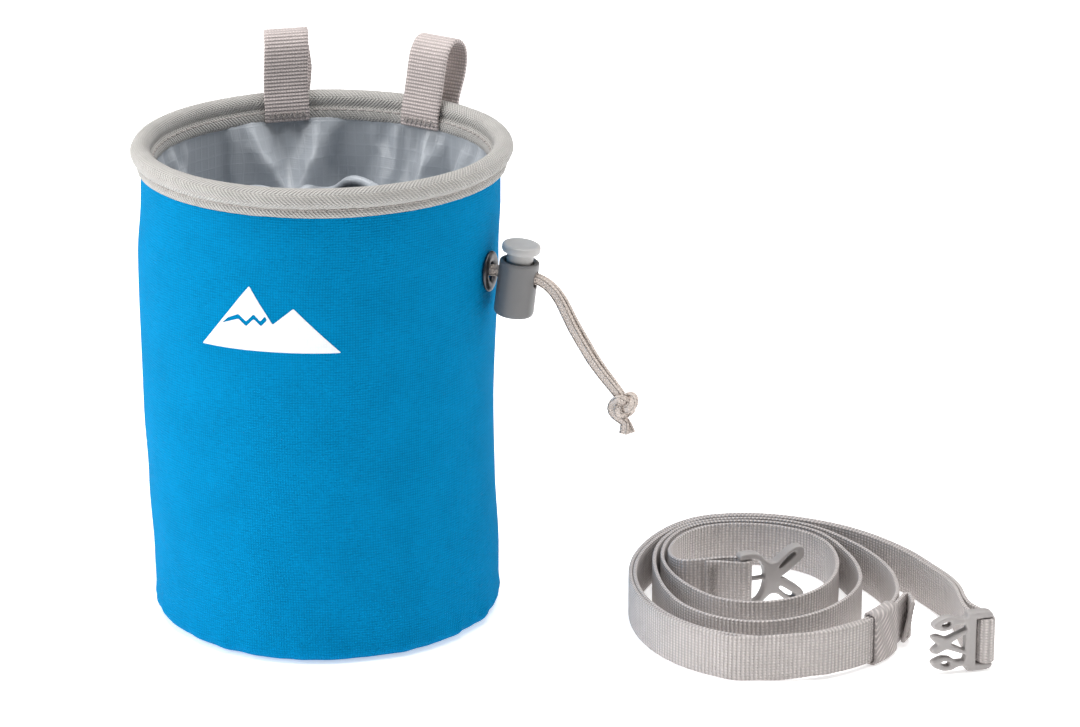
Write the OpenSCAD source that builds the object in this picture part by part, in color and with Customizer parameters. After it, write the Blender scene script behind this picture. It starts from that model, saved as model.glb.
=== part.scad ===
// Chalk bag with a drawcord, a cord lock and its coiled waist belt.
// Millimetres, +Z up, origin at the centre of the bag's base on the floor.

/* [Bag] */
// Height of the rim hoop's centre line above the floor
rim_h = 155; // [120:1:190]
// Radius of the rim hoop's centre line
rim_r = 57.8; // [48:0.2:66]
// Radius of the folded binding around the hoop
rim_tube_r = 3.2; // [3:0.1:3.6]
// How much narrower the shell is at the base than under the rim
base_taper = 1.4; // [0.4:0.1:4]
// Rounding between the wall and the base
base_round = 5; // [3:0.5:9]
// Thickness of the woven outer fabric
shell_t = 0.8; // [0.5:0.1:1]
// Thickness of the fleece lining
fleece_t = 1.4; // [0.8:0.1:2]

/* [Rim] */
// Radius of the plastic hoop inside the binding
hoop_r = 2.15; // [1.6:0.05:2.3]
// Thickness of the binding's flat selvages
selvage_t = 1.1; // [0.6:0.1:1.4]
// Drop of the selvages below the hoop's centre line
selvage_drop = 6; // [5:0.5:10]

/* [Collar] */
// Thickness of the collar's nylon
collar_t = 0.6; // [0.3:0.1:0.8]
// Radius of the collar's hem when it hangs open
hem_r = 36; // [28:1:42]
// Height of the collar's hem below the hoop's centre line
hem_drop = 30; // [22:1:40]
// Radius of the hem's casing
hem_case_r = 2; // [1.7:0.1:2.4]

/* [Belt loops] */
// Width of the loops' webbing
loop_w = 15; // [12:1:25]
// Thickness of the loops' webbing
loop_t = 1.3; // [0.8:0.1:1.6]
// Direction of the left loop, seen from above
loop_left_az = 105.5; // [90:0.5:140]
// Direction of the right loop, seen from above
loop_right_az = 55; // [40:0.5:75]

/* [Drawcord] */
// Width of the flat braided cord
cord_w = 3.4; // [2:0.1:4]
// Thickness of the flat braided cord
cord_t = 1.4; // [0.8:0.1:1.6]
// Direction of the eyelet, seen from above
cord_az = -18; // [-60:1:0]
// Height of the eyelet's centre
eyelet_h = 119; // [90:1:125]
// Outer radius of the eyelet's flange
eyelet_r = 6.5; // [5.5:0.1:8]
// Radius of the eyelet's hole
eyelet_hole_r = 3.1; // [2.8:0.1:3.6]

/* [Cord lock] */
// Outer radius of the barrel
barrel_r = 6.4; // [5.8:0.1:8]
// Radius of the barrel's bore
bore_r = 4.75; // [4.4:0.05:5]
// Radial clearance of the button in the bore
lock_fit = 0.06; // [0.03:0.01:0.1]
// Height of the barrel above the cord's hole
barrel_up = 5.2; // [4:0.1:8]
// Depth of the barrel below the cord's hole
barrel_down = 12.9; // [12:0.1:16]
// Radius of the button's disc
button_r = 6.2; // [5:0.1:7.5]
// Gap under the button's disc at rest
button_gap = 3.6; // [3.2:0.1:6]
// Travel of the button when it is pressed
button_travel = 2.6; // [2:0.1:3]
// Outward lean of the lock, degrees
lock_lean = 7; // [0:1:12]

/* [Belt] */
// Width of the belt's webbing
belt_w = 15; // [12:0.5:16]
// Thickness of the belt's webbing
belt_t = 1.3; // [1:0.1:1.4]
// Radius of the buckles' round webbing bars
bar_r = 1.5; // [1.2:0.1:1.8]
// Radial clearance between the webbing and a bar
bar_fit = 0.1; // [0.05:0.01:0.1]
// Thickness of both buckle halves
buckle_t = 4; // [3:0.2:5]
// Height of the buckles' rails above and below the webbing
rail_t = 2.3; // [1.6:0.1:2.6]
// Width of the elastic keeper, degrees along the belt's curve
keeper_deg = 17; // [10:1:20]
// Thickness of the keeper's elastic
keeper_t = 0.9; // [0.6:0.1:1.1]

/* [Hidden] */
$fn = 96;

// Bag: radii and heights worked out from the rim
gap = 0.1;
shell_r = rim_r - 0.2;
foot_r = shell_r - base_taper;
top_z = rim_h - 3.5;
round_c = foot_r - base_round;
liner_r = shell_r - shell_t - gap;
liner_foot_r = foot_r - shell_t - gap;
liner_in_r = liner_r - fleece_t;
collar_r = liner_in_r - gap;
hem_z = rim_h - hem_drop;
hem_gap_deg = 14;
// Inner face of the lining at the eyelet: the washer lies on it and the hem's cord bends before it
eyelet_wall_r = wall_r(liner_in_r, liner_foot_r - fleece_t, eyelet_h);
washer_u = eyelet_wall_r - 0.89;
cord_bend_u = eyelet_wall_r - 8.99;
cord_back_u = eyelet_wall_r - 4.49;

// Section of a belt loop: sewn inside the rim, up, over and down outside it, [radius, height]
in_face = collar_r - collar_t - selvage_t;
in_leaf = sqrt(in_face * in_face - loop_w * loop_w / 4) - loop_t / 2 - 0.05;
out_leaf = shell_r + selvage_t + loop_t / 2 + 0.1;
loop_route = [[in_leaf, rim_h - 5.6], [in_leaf, rim_h - 2.6], [in_leaf + 0.6, rim_h + 0.6],
    [in_leaf + 1.9, rim_h + 5], [in_leaf + 3.1, rim_h + 10], [in_leaf + 4, rim_h + 14.5],
    [in_leaf + 5.3, rim_h + 18.6], [in_leaf + 7.9, rim_h + 21.8], [out_leaf + 4.3, rim_h + 22.4],
    [out_leaf + 7.3, rim_h + 20], [out_leaf + 8.2, rim_h + 16.2], [out_leaf + 7.4, rim_h + 12],
    [out_leaf + 5.7, rim_h + 7.6], [out_leaf + 4, rim_h + 3.6], [out_leaf + 3.1, rim_h],
    [out_leaf + 1.4, rim_h - 3.2], [out_leaf, rim_h - 6], [out_leaf, rim_h - 9]];

// Where the cord lock sits: u runs outward from the bag's axis, z up
lock_gap = 0.2;
lock_u = shell_r + lock_gap + barrel_r * cos(lock_lean) + barrel_down * sin(lock_lean);
lock_z = eyelet_h - 0.6;
slot_hw = cord_t + 0.5;
slot_hh = cord_w / 2 + 1.1;
guide_top = 3.2;
guide_bottom = -6.5;
neck_r = 4.3;
disc_t = 2.4;
floor_t = 1.5;

// Route of both strands in the plane through the bag's axis, [u, z]
cord_route = [[54.6, 119.4], [58, 119.4], [62, 119.2], [66, 118.9], [70.4, 118.3], [74.3, 117.1],
    [77.6, 114.7], [80.1, 111.4], [82.1, 107.7], [84, 104], [86.2, 100.3], [88.6, 96.4],
    [91, 92.7], [94, 88.8], [97.2, 85], [100, 81.6]];
knot_at = [101.4, 79];
knot_r = 4.6;
tail_len = 5.5;

// Belt: centre line of the strap from the female buckle outward, [x, y].
// It winds clockwise as seen from above; the keeper's stretch is a true arc.
belt_rise = 2.8;
keeper_rise = 1.3;
bar_f = [136, -10.2];
bar_m = [210.5, -59.5];
female_az = 22;
male_az = 195;
arc_c = [143, -27];
arc_r = 42;
layer = belt_t + 0.15;
wrap_r = bar_r + bar_fit + belt_t / 2;
inner_turns = [[bar_f[0], bar_f[1] + wrap_r], [132, -8.5], [127.5, -9.5], [121.5, -9.8], [116.5, -8.4],
    [113.5, -4], [112.4, 2], [112.7, 9], [114.8, 16], [118.6, 22.4], [124, 27.4],
    [130.8, 30.1], [138.5, 30.5], [146.5, 29.2], [154, 25.8], [160.5, 20.4], [165, 12.5],
    [167, 3], [167, -7], [164.8, -17.8], [160, -27.4], [152.6, -34.8], [143.5, -39],
    [134, -39.2], [125.5, -35], [118.5, -26.5], [113, -15.5], [110.2, -4], [110.1, 6],
    [112.2, 15.8], [116.4, 24.4], [122.6, 30.2], [130.3, 33], [139, 33.5], [147.8, 32.2],
    [155.8, 28.8], [162.4, 23.2], [167.2, 15], [170.2, 6.5], [172.6, -2], [173.8, -11],
    [173.6, -20], [171, -29.5], [166.4, -38.5], [159.4, -47], [150, -53.2], [140, -56],
    [130, -54.2], [121.3, -48.6], [114.3, -39.6], [109.8, -27], [107.5, -13], [107.1, -1],
    [108.5, 10], [112, 20], [117.6, 28.6], [125.6, 33.8], [135.3, 36], [145.8, 35.5],
    [155.4, 32.2], [163.8, 26], [171, 17], [177, 7.5], [181.8, -3.5], [184.4, -15]];
keeper_arc = [for (a = [0 : -10 : -90]) arc_c + arc_r * [cos(a), sin(a)]];
outer_turn = [[134, -67.7], [125, -63.9], [116.5, -57.4], [109.3, -48.2], [104.1, -37],
    [101.2, -25], [100.5, -12.5], [102, 0], [105.4, 11], [110.2, 21], [116.6, 29.8],
    [124.2, 35.7], [133, 38.2], [142, 38.4], [151, 36.6], [160, 33.2], [168.6, 28.4],
    [177, 21.6], [184.6, 13], [191.4, 3.2], [197, -8], [201, -19.4], [203.3, -30.4],
    [203.8, -41], [204.6, -48.6], [206.4, -54.6],
    [bar_m[0] - wrap_r, bar_m[1]]];
strap_route = concat(inner_turns, keeper_arc, outer_turn);
// The free end comes back through the male buckle and lies outside the strap
tail_turn_start = [[bar_m[0] + wrap_r, bar_m[1]], [211.7, -55.4], [208.8, -51.2], [206.4, -46.8]];
first_raised = 3;
keeper_from = len(inner_turns) + 1;
keeper_to = len(inner_turns) + 6;
last_raised = 3;
tip_len = 11;
tip_t = 3.4;
tip_az = -24;

// Buckles: height of the webbing's middle line, the rails around it and the arms' roots
mid_z = belt_rise + belt_w / 2;
rail_in = belt_w / 2 + 0.2;
rail_out = rail_in + rail_t;
arm_root = [7.6, rail_in - 0.5];
knuckle_r = 1.4;

// Sign on the front: height above the floor, size and direction
print_low = 105;
print_w = 44;
print_h = 21;
print_az = -13;

// Small vector and curve helpers
function unit(v) = v / norm(v);
function spline(a, b, c, d, t) = 0.5 * (2 * b + (c - a) * t + (2 * a - 5 * b + 4 * c - d) * t * t
    + (3 * b - a - 3 * c + d) * t * t * t);
function smooth(p, steps) = [for (i = [0 : len(p) - 2]) for (s = [0 : steps - 1])
    spline(p[max(i - 1, 0)], p[i], p[i + 1], p[min(i + 2, len(p) - 1)], s / steps), p[len(p) - 1]];
function heading(p, i) = unit(p[min(i + 1, len(p) - 1)] - p[max(i - 1, 0)]);
function left_of(p, i, d) = p[i] + d * [-heading(p, i)[1], heading(p, i)[0]];
function part_of(p, i, j) = [for (k = [i : j]) p[k]];
function reversed(p) = [for (k = [len(p) - 1 : -1 : 0]) p[k]];
function wall_r(r_top, r_foot, z) = r_foot + (r_top - r_foot) * (z - base_round) / (top_z - base_round);
function in_plane(p) = [for (q = p) [q[0] * cos(cord_az), q[0] * sin(cord_az), q[1]]];
function sign_size(p) = [for (q = p) [q[0] * print_w / 2, q[1] * print_h]];
across = [-sin(cord_az), cos(cord_az), 0];

// A flat strip of the given thickness along a plane route
module strip(p, t) {
    polygon(concat([for (i = [0 : len(p) - 1]) left_of(p, i, t / 2)],
        reversed([for (i = [0 : len(p) - 1]) left_of(p, i, -t / 2)])));
}

// A closed tube with an oval section swept along a route in space
module sweep(p, half_a, half_b, sides, normal) {
    rings = [for (i = [0 : len(p) - 1])
        let (t = heading(p, i), a = unit(cross(normal, t)), b = cross(t, a))
        [for (k = [0 : sides - 1]) p[i] + half_a * cos(360 * k / sides) * a
            + half_b * sin(360 * k / sides) * b]];
    last = len(p) - 1;
    sides_faces = [for (i = [0 : last - 1]) for (k = [0 : sides - 1])
        [(i + 1) * sides + k, (i + 1) * sides + (k + 1) % sides, i * sides + (k + 1) % sides,
            i * sides + k]];
    start_face = [for (k = [0 : sides - 1]) k];
    end_face = [for (k = [sides - 1 : -1 : 0]) last * sides + k];
    polyhedron([for (r = rings) for (q = r) q], concat(sides_faces, [start_face], [end_face]),
        convexity = 6);
}

// Runs its children's +X outward through the eyelet's direction
module at_cord() {
    rotate([0, 0, cord_az])
        children();
}

// The cord lock's own frame: origin on the cord's hole, +Z towards the button
module at_lock() {
    at_cord()
        translate([lock_u, 0, lock_z])
            rotate([0, lock_lean, 0])
                children();
}

// A slot with round ends through a lock part, along X
module cord_slot(low, high, half_w) {
    rotate([90, 0, 90])
        linear_extrude(40, center = true)
            union() {
                translate([0, low + half_w])
                    circle(half_w);
                translate([0, high - half_w])
                    circle(half_w);
                translate([-half_w, low + half_w])
                    square([2 * half_w, high - low - 2 * half_w]);
            }
}

// Half section of a cup with a tapered wall and a rounded foot, open where it meets its base disc
module cup_wall(r_top, r_foot, t, corner_r) {
    outer = [for (a = [-90 : 15 : 0]) [round_c + corner_r * cos(a), base_round + corner_r * sin(a)]];
    inner = [for (a = [0 : -15 : -90])
        [round_c + (corner_r - t) * cos(a), base_round + (corner_r - t) * sin(a)]];
    rotate_extrude()
        polygon(concat(outer, [[r_top, top_z], [r_top - t, top_z]], inner));
}

module eyelet_hole() {
    at_cord()
        translate([shell_r - 12, 0, eyelet_h])
            rotate([0, 90, 0])
                cylinder(h = 20, r = eyelet_hole_r + 0.55);
}

module outer_shell() {
    color("#0373b4")
        difference() {
            cup_wall(shell_r, foot_r, shell_t, base_round);
            eyelet_hole();
        }
}

module base_panel() {
    color("#0369a2")
        cylinder(h = shell_t, r = round_c);
}

module fleece_liner() {
    color("#8a8f96")
        difference() {
            cup_wall(liner_r, liner_foot_r, fleece_t, base_round - shell_t - gap);
            eyelet_hole();
        }
}

module liner_base() {
    color("#8a8f96")
        translate([0, 0, shell_t + gap])
            cylinder(h = fleece_t, r = round_c);
}

module rim_hoop() {
    color("#d8d4d0")
        translate([0, 0, rim_h])
            rotate_extrude()
                translate([rim_r, 0])
                    circle(hoop_r, $fn = 32);
}

// Tape folded over the hoop, with a selvage outside the shell and one inside the collar
module rim_binding() {
    low = rim_h - selvage_drop;
    in_r = collar_r - collar_t;
    color("#b7b5b4")
        rotate_extrude()
            difference() {
                union() {
                    translate([rim_r, rim_h])
                        circle(rim_tube_r, $fn = 32);
                    translate([shell_r, low])
                        square([selvage_t, selvage_drop - 2.5]);
                    polygon([[in_r - selvage_t, low], [in_r, low], [in_r, rim_h - 3.4],
                        [rim_r - 1.6, rim_h - 2.2], [rim_r - 2.9, rim_h - 1.2],
                        [in_r - selvage_t, rim_h - 3]]);
                }
                translate([rim_r, rim_h])
                    circle(hoop_r, $fn = 32);
            }
}

// Nylon collar: sewn under the binding, hanging in towards its hem
module collar() {
    throat = hem_r + hem_case_r * 0.6;
    color("#7e848a")
        rotate_extrude()
            polygon([[collar_r, top_z], [collar_r, rim_h - 11], [throat, hem_z + 2.2],
                [throat - 0.7, hem_z + 2.6], [collar_r - collar_t, rim_h - 11 + 0.6],
                [collar_r - collar_t, top_z]]);
}

// The hem is a tube with a gap where the cord comes out towards the eyelet
module collar_hem() {
    color("#6f757b")
        translate([0, 0, hem_z])
            rotate([0, 0, cord_az + hem_gap_deg])
                rotate_extrude(angle = 360 - 2 * hem_gap_deg)
                    translate([hem_r, 0])
                        difference() {
                            circle(hem_case_r, $fn = 24);
                            circle(1.45, $fn = 24);
                        }
}

// The cord's run inside the bag: round the hem and out to the back of the eyelet
module hem_cord() {
    turn = [for (a = [12 : 14 : 348]) [hem_r * cos(cord_az + a), hem_r * sin(cord_az + a), hem_z]];
    exit_l = in_plane([cord_route[0]])[0] + 0.85 * across;
    exit_r = in_plane([cord_route[0]])[0] - 0.85 * across;
    bend_l = in_plane([[cord_bend_u, eyelet_h + 2.6]])[0] + 2.2 * across;
    bend_r = in_plane([[cord_bend_u, eyelet_h + 2.6]])[0] - 2.2 * across;
    back_l = in_plane([[cord_back_u, eyelet_h + 0.9]])[0] + 1.1 * across;
    back_r = in_plane([[cord_back_u, eyelet_h + 0.9]])[0] - 1.1 * across;
    color("#beb1a6")
        sweep(concat([exit_l, back_l, bend_l], turn, [bend_r, back_r, exit_r]), 1.1, 0.7, 8,
            [0, 0, 1]);
}

module eyelet() {
    color("#4a4a4c")
        at_cord()
            translate([0, 0, eyelet_h])
                rotate([0, 90, 0])
                    difference() {
                        union() {
                            translate([0, 0, shell_r])
                                cylinder(h = 0.5, r = eyelet_r);
                            translate([0, 0, liner_in_r - 1.6])
                                cylinder(h = shell_r - liner_in_r + 1.8, r = eyelet_hole_r + 0.5);
                        }
                        cylinder(h = shell_r + 20, r = eyelet_hole_r);
                    }
}

module eyelet_washer() {
    color("#4a4a4c")
        at_cord()
            translate([washer_u, 0, eyelet_h])
                rotate([0, 90, 0])
                    difference() {
                        cylinder(h = 0.5, r = eyelet_r - 0.8);
                        translate([0, 0, -1])
                            cylinder(h = 3, r = eyelet_hole_r + 0.55);
                    }
}

module belt_loop(az) {
    color("#928989")
        rotate([0, 0, az])
            translate([0, loop_w / 2, 0])
                rotate([90, 0, 0])
                    linear_extrude(loop_w)
                        strip(smooth(loop_route, 3), loop_t);
}

module belt_loop_left() {
    belt_loop(loop_left_az);
}

module belt_loop_right() {
    belt_loop(loop_right_az);
}

// Two rows of dense stitching on each loop, one inside and one outside
module loop_bartacks() {
    tack_w = loop_w - 3;
    color("#a79e9c")
        for (az = [loop_left_az, loop_right_az])
            rotate([0, 0, az]) {
                translate([in_leaf - loop_t / 2 - 0.45, -tack_w / 2, rim_h - 4.4])
                    cube([0.4, tack_w, 1.5]);
                translate([out_leaf + loop_t / 2 + 0.05, -tack_w / 2, rim_h - 8.4])
                    cube([0.4, tack_w, 1.5]);
            }
}

// A plain sign of a mountain with two peaks and a snow line, printed on the front of the shell
module front_print() {
    low = print_low - 4;
    high = print_low + print_h + 4;
    color("white")
        intersection() {
            rotate_extrude()
                polygon([[wall_r(shell_r, foot_r, low) + 0.04, low],
                    [wall_r(shell_r, foot_r, high) + 0.04, high],
                    [wall_r(shell_r, foot_r, high) + 0.3, high],
                    [wall_r(shell_r, foot_r, low) + 0.3, low]]);
            rotate([0, 0, print_az])
                translate([0, -shell_r + 30, print_low])
                    rotate([90, 0, 0])
                        linear_extrude(40)
                            difference() {
                                polygon(sign_size([[-1, 0], [-0.273, 1], [0.068, 0.43],
                                        [0.364, 0.69], [1, 0]]));
                                polygon(sign_size([[-0.591, 0.476], [-0.432, 0.552],
                                        [-0.318, 0.448], [-0.205, 0.571], [-0.109, 0.467],
                                        [-0.041, 0.552], [-0.009, 0.495], [-0.1, 0.39],
                                        [-0.205, 0.495], [-0.318, 0.371], [-0.432, 0.476],
                                        [-0.682, 0.381]]));
                            }
        }
}

module strand(side) {
    color("#beb1a6")
        translate(side * (cord_t / 2 + 0.12) * across)
            sweep(in_plane(smooth(cord_route, 2)), cord_w / 2, cord_t / 2, 8, across);
}

module drawcord_front() {
    strand(-1);
}

module drawcord_back() {
    strand(1);
}

// A cut tail below the knot: side -1 is the front strand's, leaning by a few degrees
module cord_tail(side, lean) {
    translate([0, side * (cord_t / 2 + 0.2) - cord_t / 2, 0])
        rotate([0, lean, 0])
            translate([-cord_w / 2, 0, -knot_r - tail_len])
                cube([cord_w, cord_t, knot_r + tail_len]);
}

// Overhand knot that holds both strands, with its two cut tails
module cord_knot() {
    color("#beb1a6")
        at_cord()
            translate([knot_at[0], 0, knot_at[1]])
                union() {
                    sphere(knot_r, $fn = 32);
                    cord_tail(-1, 2);
                    cord_tail(1, -11);
                }
}

module cord_lock_barrel() {
    color("#727375")
        at_lock()
            difference() {
                translate([0, 0, -barrel_down])
                    cylinder(h = barrel_down + barrel_up, r = barrel_r);
                translate([0, 0, floor_t - barrel_down])
                    cylinder(h = barrel_down + barrel_up, r = bore_r);
                cord_slot(-slot_hh, slot_hh, slot_hw);
            }
}

module cord_lock_button() {
    disc_z = barrel_up + button_gap;
    color("#8f8f90")
        at_lock()
            difference() {
                union() {
                    translate([0, 0, guide_bottom])
                        cylinder(h = guide_top - guide_bottom, r = bore_r - lock_fit);
                    translate([0, 0, guide_bottom + 1])
                        cylinder(h = disc_z - guide_bottom, r = neck_r);
                    translate([0, 0, disc_z])
                        cylinder(h = disc_t, r = button_r);
                }
                translate([0, 0, disc_z + disc_t + 21.2])
                    sphere(22, $fn = 64);
                cord_slot(-1.9, slot_hh + button_travel - 0.1, slot_hw);
            }
}

module cord_lock_spring() {
    wire = 0.4;
    low = floor_t - barrel_down + wire + 0.02;
    high = guide_bottom - wire - 0.02;
    turns = 4;
    steps = 12;
    color("#b4b4b4")
        at_lock()
            sweep([for (k = [0 : turns * steps])
                [3.6 * cos(360 * k / steps), 3.6 * sin(360 * k / steps),
                    low + (high - low) * k / (turns * steps)]], wire, wire, 6, [0, 0, 1]);
}

// The strap, in stretches that stand on the floor or are lifted by a buckle or the keeper
module belt_stretch(first, last, lift) {
    fine = smooth(strap_route, 3);
    translate([0, 0, lift])
        linear_extrude(belt_w)
            strip(part_of(fine, 3 * first, 3 * last), belt_t);
}

module webbing_wrap(at) {
    translate([at[0], at[1], belt_rise])
        difference() {
            cylinder(h = belt_w, r = wrap_r + belt_t / 2);
            translate([0, 0, -1])
                cylinder(h = belt_w + 2, r = wrap_r - belt_t / 2);
        }
}

module belt_webbing() {
    count = len(strap_route) - 1;
    outside = [for (i = [count - last_raised : -1 : keeper_to + 4]) left_of(strap_route, i, layer)];
    on_arc = [for (a = [-80 : 8 : tip_az]) arc_c + (arc_r + layer) * [cos(a), sin(a)]];
    tip_start = on_arc[len(on_arc) - 1];
    tip_dir = [-sin(tip_az), cos(tip_az)];
    tail = concat(outside, on_arc, [tip_start + 4 * tip_dir, tip_start + tip_len * tip_dir]);
    tail_arc_i = len(outside) + 2;
    fold = [[bar_f[0], bar_f[1] - wrap_r], [132, -11.9], [127.5, -11.1], [123.4, -11.25]];
    color("#c2b9b7")
        union() {
            belt_stretch(0, first_raised, belt_rise);
            belt_stretch(first_raised, keeper_from, 0);
            belt_stretch(keeper_from, keeper_to, keeper_rise);
            belt_stretch(keeper_to, count - last_raised, 0);
            belt_stretch(count - last_raised, count, belt_rise);
            webbing_wrap(bar_f);
            webbing_wrap(bar_m);
            translate([0, 0, belt_rise])
                linear_extrude(belt_w)
                    strip(smooth(fold, 3), belt_t);
            translate([0, 0, belt_rise])
                linear_extrude(belt_w)
                    strip(smooth(concat(tail_turn_start, [tail[0]]), 3), belt_t);
            linear_extrude(belt_w)
                strip(smooth(part_of(tail, 0, tail_arc_i), 3), belt_t);
            translate([0, 0, keeper_rise])
                linear_extrude(belt_w)
                    strip(smooth(part_of(tail, tail_arc_i, len(tail) - 1), 3), belt_t);
            translate([0, 0, keeper_rise])
                linear_extrude(belt_w)
                    strip([tip_start + 4 * tip_dir, tip_start + tip_len * tip_dir], tip_t);
        }
}

// Dense stitching through the folded end at the female buckle
module belt_bartack() {
    color("#cfc8c5")
        translate([125.2, -12.4, belt_rise + 1])
            cube([1.6, 0.45, belt_w - 2]);
}

// Elastic keeper around the strap and its free end, on the true arc
module belt_keeper() {
    in_t = belt_t + layer + 0.7;
    mid_r = arc_r + layer / 2;
    color("#b5acaa")
        translate([arc_c[0], arc_c[1], 0])
            rotate([0, 0, -26 - keeper_deg])
                rotate_extrude(angle = keeper_deg)
                    difference() {
                        translate([mid_r - in_t / 2 - keeper_t, 0])
                            square([in_t + 2 * keeper_t, belt_w + 2 * keeper_rise]);
                        translate([mid_r - in_t / 2, keeper_t])
                            square([in_t, belt_w + 2 * (keeper_rise - keeper_t)]);
                    }
}

// Buckle outlines are drawn in [along, height from the middle] and extruded to the buckle's depth
module at_buckle(at, az) {
    translate([at[0], at[1], mid_z])
        rotate([0, 0, az])
            children();
}

module plate(depth) {
    rotate([90, 0, 0])
        linear_extrude(depth, center = true)
            children();
}

// The round bar that the webbing wraps, joined to both rails
module webbing_bar() {
    translate([0, 0, -rail_in - 0.5])
        cylinder(h = 2 * rail_in + 1, r = bar_r);
}

module rails(length) {
    for (s = [-1, 1])
        translate([0, 0, s * (rail_in + rail_t / 2)]) {
            translate([0, 0, -rail_t / 2])
                cylinder(h = rail_t, r = buckle_t / 2);
            translate([0, -buckle_t / 2, -rail_t / 2])
                cube([length, buckle_t, rail_t]);
        }
}

// Female half: a waisted body with a window each side of its guide and two hollow horns
module buckle_female() {
    tip = 20;
    waist = rail_out - 4.6;
    color("#c2bcb8")
        at_buckle(bar_f, female_az)
            union() {
                webbing_bar();
                rails(4.6);
                plate(buckle_t)
                    difference() {
                        polygon([[3.8, -rail_out], [6, -rail_out + 0.4], [8.4, -waist],
                            [10.2, -waist + 0.4], [tip - 3.4, -rail_out + 0.3],
                            [tip - 1, -rail_out + 0.5], [tip, -rail_out + 2.6],
                            [tip - 0.8, -rail_out + 3.8], [13.2, -1.2], [12.6, 0], [13.2, 1.2],
                            [tip - 0.8, rail_out - 3.8], [tip, rail_out - 2.6],
                            [tip - 1, rail_out - 0.5], [tip - 3.4, rail_out - 0.3],
                            [10.2, waist - 0.4], [8.4, waist], [6, rail_out - 0.4],
                            [3.8, rail_out]]);
                        for (s = [-1, 1]) {
                            polygon([[3.6, s * 0.8], [6.8, s * 0.8], [6.4, s * (rail_in - 3.1)],
                                [4.6, s * (rail_in - 0.9)], [3.6, s * (rail_in - 0.9)]]);
                            polygon([[10.6, s * (rail_out - 6.6)], [12.4, s * (rail_out - 6.8)],
                                [17.4, s * (rail_out - 3.2)], [17, s * (rail_out - 2)],
                                [15.8, s * (rail_out - 2.1)]]);
                        }
                    }
            }
}

// Male half: ladder frame and the forked guide between its two sprung arms
module buckle_male() {
    color("#c2bcb8")
        at_buckle(bar_m, male_az)
            difference() {
                union() {
                    webbing_bar();
                    rails(6.4);
                    plate(buckle_t)
                        polygon([[3.7, -rail_in - 0.5], [8.2, -rail_in - 0.5],
                            [6.6, -rail_in + 3.3], [6.6, rail_in - 3.3], [8.2, rail_in + 0.5],
                            [3.7, rail_in + 0.5]]);
                    plate(buckle_t - 0.8)
                        difference() {
                            polygon([[6.4, -4.6], [13.4, -1.7], [16.4, -3.2], [18.6, -2.6],
                                [18.2, -1.6], [16, 0], [18.2, 1.6], [18.6, 2.6], [16.4, 3.2],
                                [13.4, 1.7], [6.4, 4.6]]);
                            polygon([[7, -2.8], [11.6, -0.3], [11.6, 0.3], [7, 2.8]]);
                        }
                }
                for (s = [-1, 1])
                    translate([arm_root[0], 0, s * arm_root[1]])
                        rotate([90, 0, 0])
                            cylinder(h = buckle_t + 2, r = knuckle_r + 0.08, center = true);
            }
}

// One sprung arm: a round root, a neck and a leaf-shaped head with an eye
module buckle_arm() {
    plate(buckle_t - 0.6)
        translate(arm_root)
            difference() {
                union() {
                    circle(knuckle_r, $fn = 32);
                    polygon([[0, -0.9], [2.6, -0.9], [4.4, -2.4], [7.2, -2.8], [10.4, -1.6],
                        [10.8, -0.6], [9.6, 0.6], [6.6, 2], [3.6, 2], [1.8, 0.9], [0, 0.9]]);
                }
                polygon([[4.6, -1.1], [7, -1.3], [7.6, -0.6], [6.4, 0.2], [4.6, 0.3]]);
            }
}

module buckle_arm_upper() {
    color("#c2bcb8")
        at_buckle(bar_m, male_az)
            buckle_arm();
}

module buckle_arm_lower() {
    color("#c2bcb8")
        at_buckle(bar_m, male_az)
            mirror([0, 0, 1])
                buckle_arm();
}

outer_shell();
base_panel();
fleece_liner();
liner_base();
rim_hoop();
rim_binding();
collar();
collar_hem();
hem_cord();
eyelet();
eyelet_washer();
belt_loop_left();
belt_loop_right();
loop_bartacks();
front_print();
drawcord_front();
drawcord_back();
cord_knot();
cord_lock_barrel();
cord_lock_button();
cord_lock_spring();
belt_webbing();
belt_bartack();
belt_keeper();
buckle_female();
buckle_male();
buckle_arm_upper();
buckle_arm_lower();
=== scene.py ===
import math

import bmesh
import bpy
from bpy.props import FloatProperty, FloatVectorProperty, IntProperty, PointerProperty
from bpy.types import Operator, Panel, PropertyGroup
from mathutils import Matrix, Vector, noise


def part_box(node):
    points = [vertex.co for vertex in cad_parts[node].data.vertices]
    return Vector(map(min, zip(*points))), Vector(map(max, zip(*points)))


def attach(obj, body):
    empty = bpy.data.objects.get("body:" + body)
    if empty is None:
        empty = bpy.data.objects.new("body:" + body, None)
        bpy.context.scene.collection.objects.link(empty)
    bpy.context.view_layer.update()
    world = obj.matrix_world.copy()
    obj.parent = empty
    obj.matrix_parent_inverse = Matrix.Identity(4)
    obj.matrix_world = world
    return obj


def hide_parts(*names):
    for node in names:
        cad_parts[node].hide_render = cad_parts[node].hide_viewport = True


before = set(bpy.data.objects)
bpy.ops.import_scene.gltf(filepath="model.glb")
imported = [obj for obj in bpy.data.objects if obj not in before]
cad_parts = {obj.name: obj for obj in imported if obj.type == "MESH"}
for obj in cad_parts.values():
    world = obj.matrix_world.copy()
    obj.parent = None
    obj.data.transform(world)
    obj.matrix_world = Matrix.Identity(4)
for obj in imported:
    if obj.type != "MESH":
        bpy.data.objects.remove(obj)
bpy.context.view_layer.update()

bl_info = {
    "name": "Chalk bag with waist belt",
    "version": (1, 0, 0),
    "blender": (4, 5, 0),
    "location": "View3D > Sidebar > Chalk bag",
    "description": "Builds a climbing chalk bag, its drawcord lock and its coiled belt",
    "category": "Object",
}

# All shapes are worked out in millimetres and become metres when a mesh is made.
MM = 0.001


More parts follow.
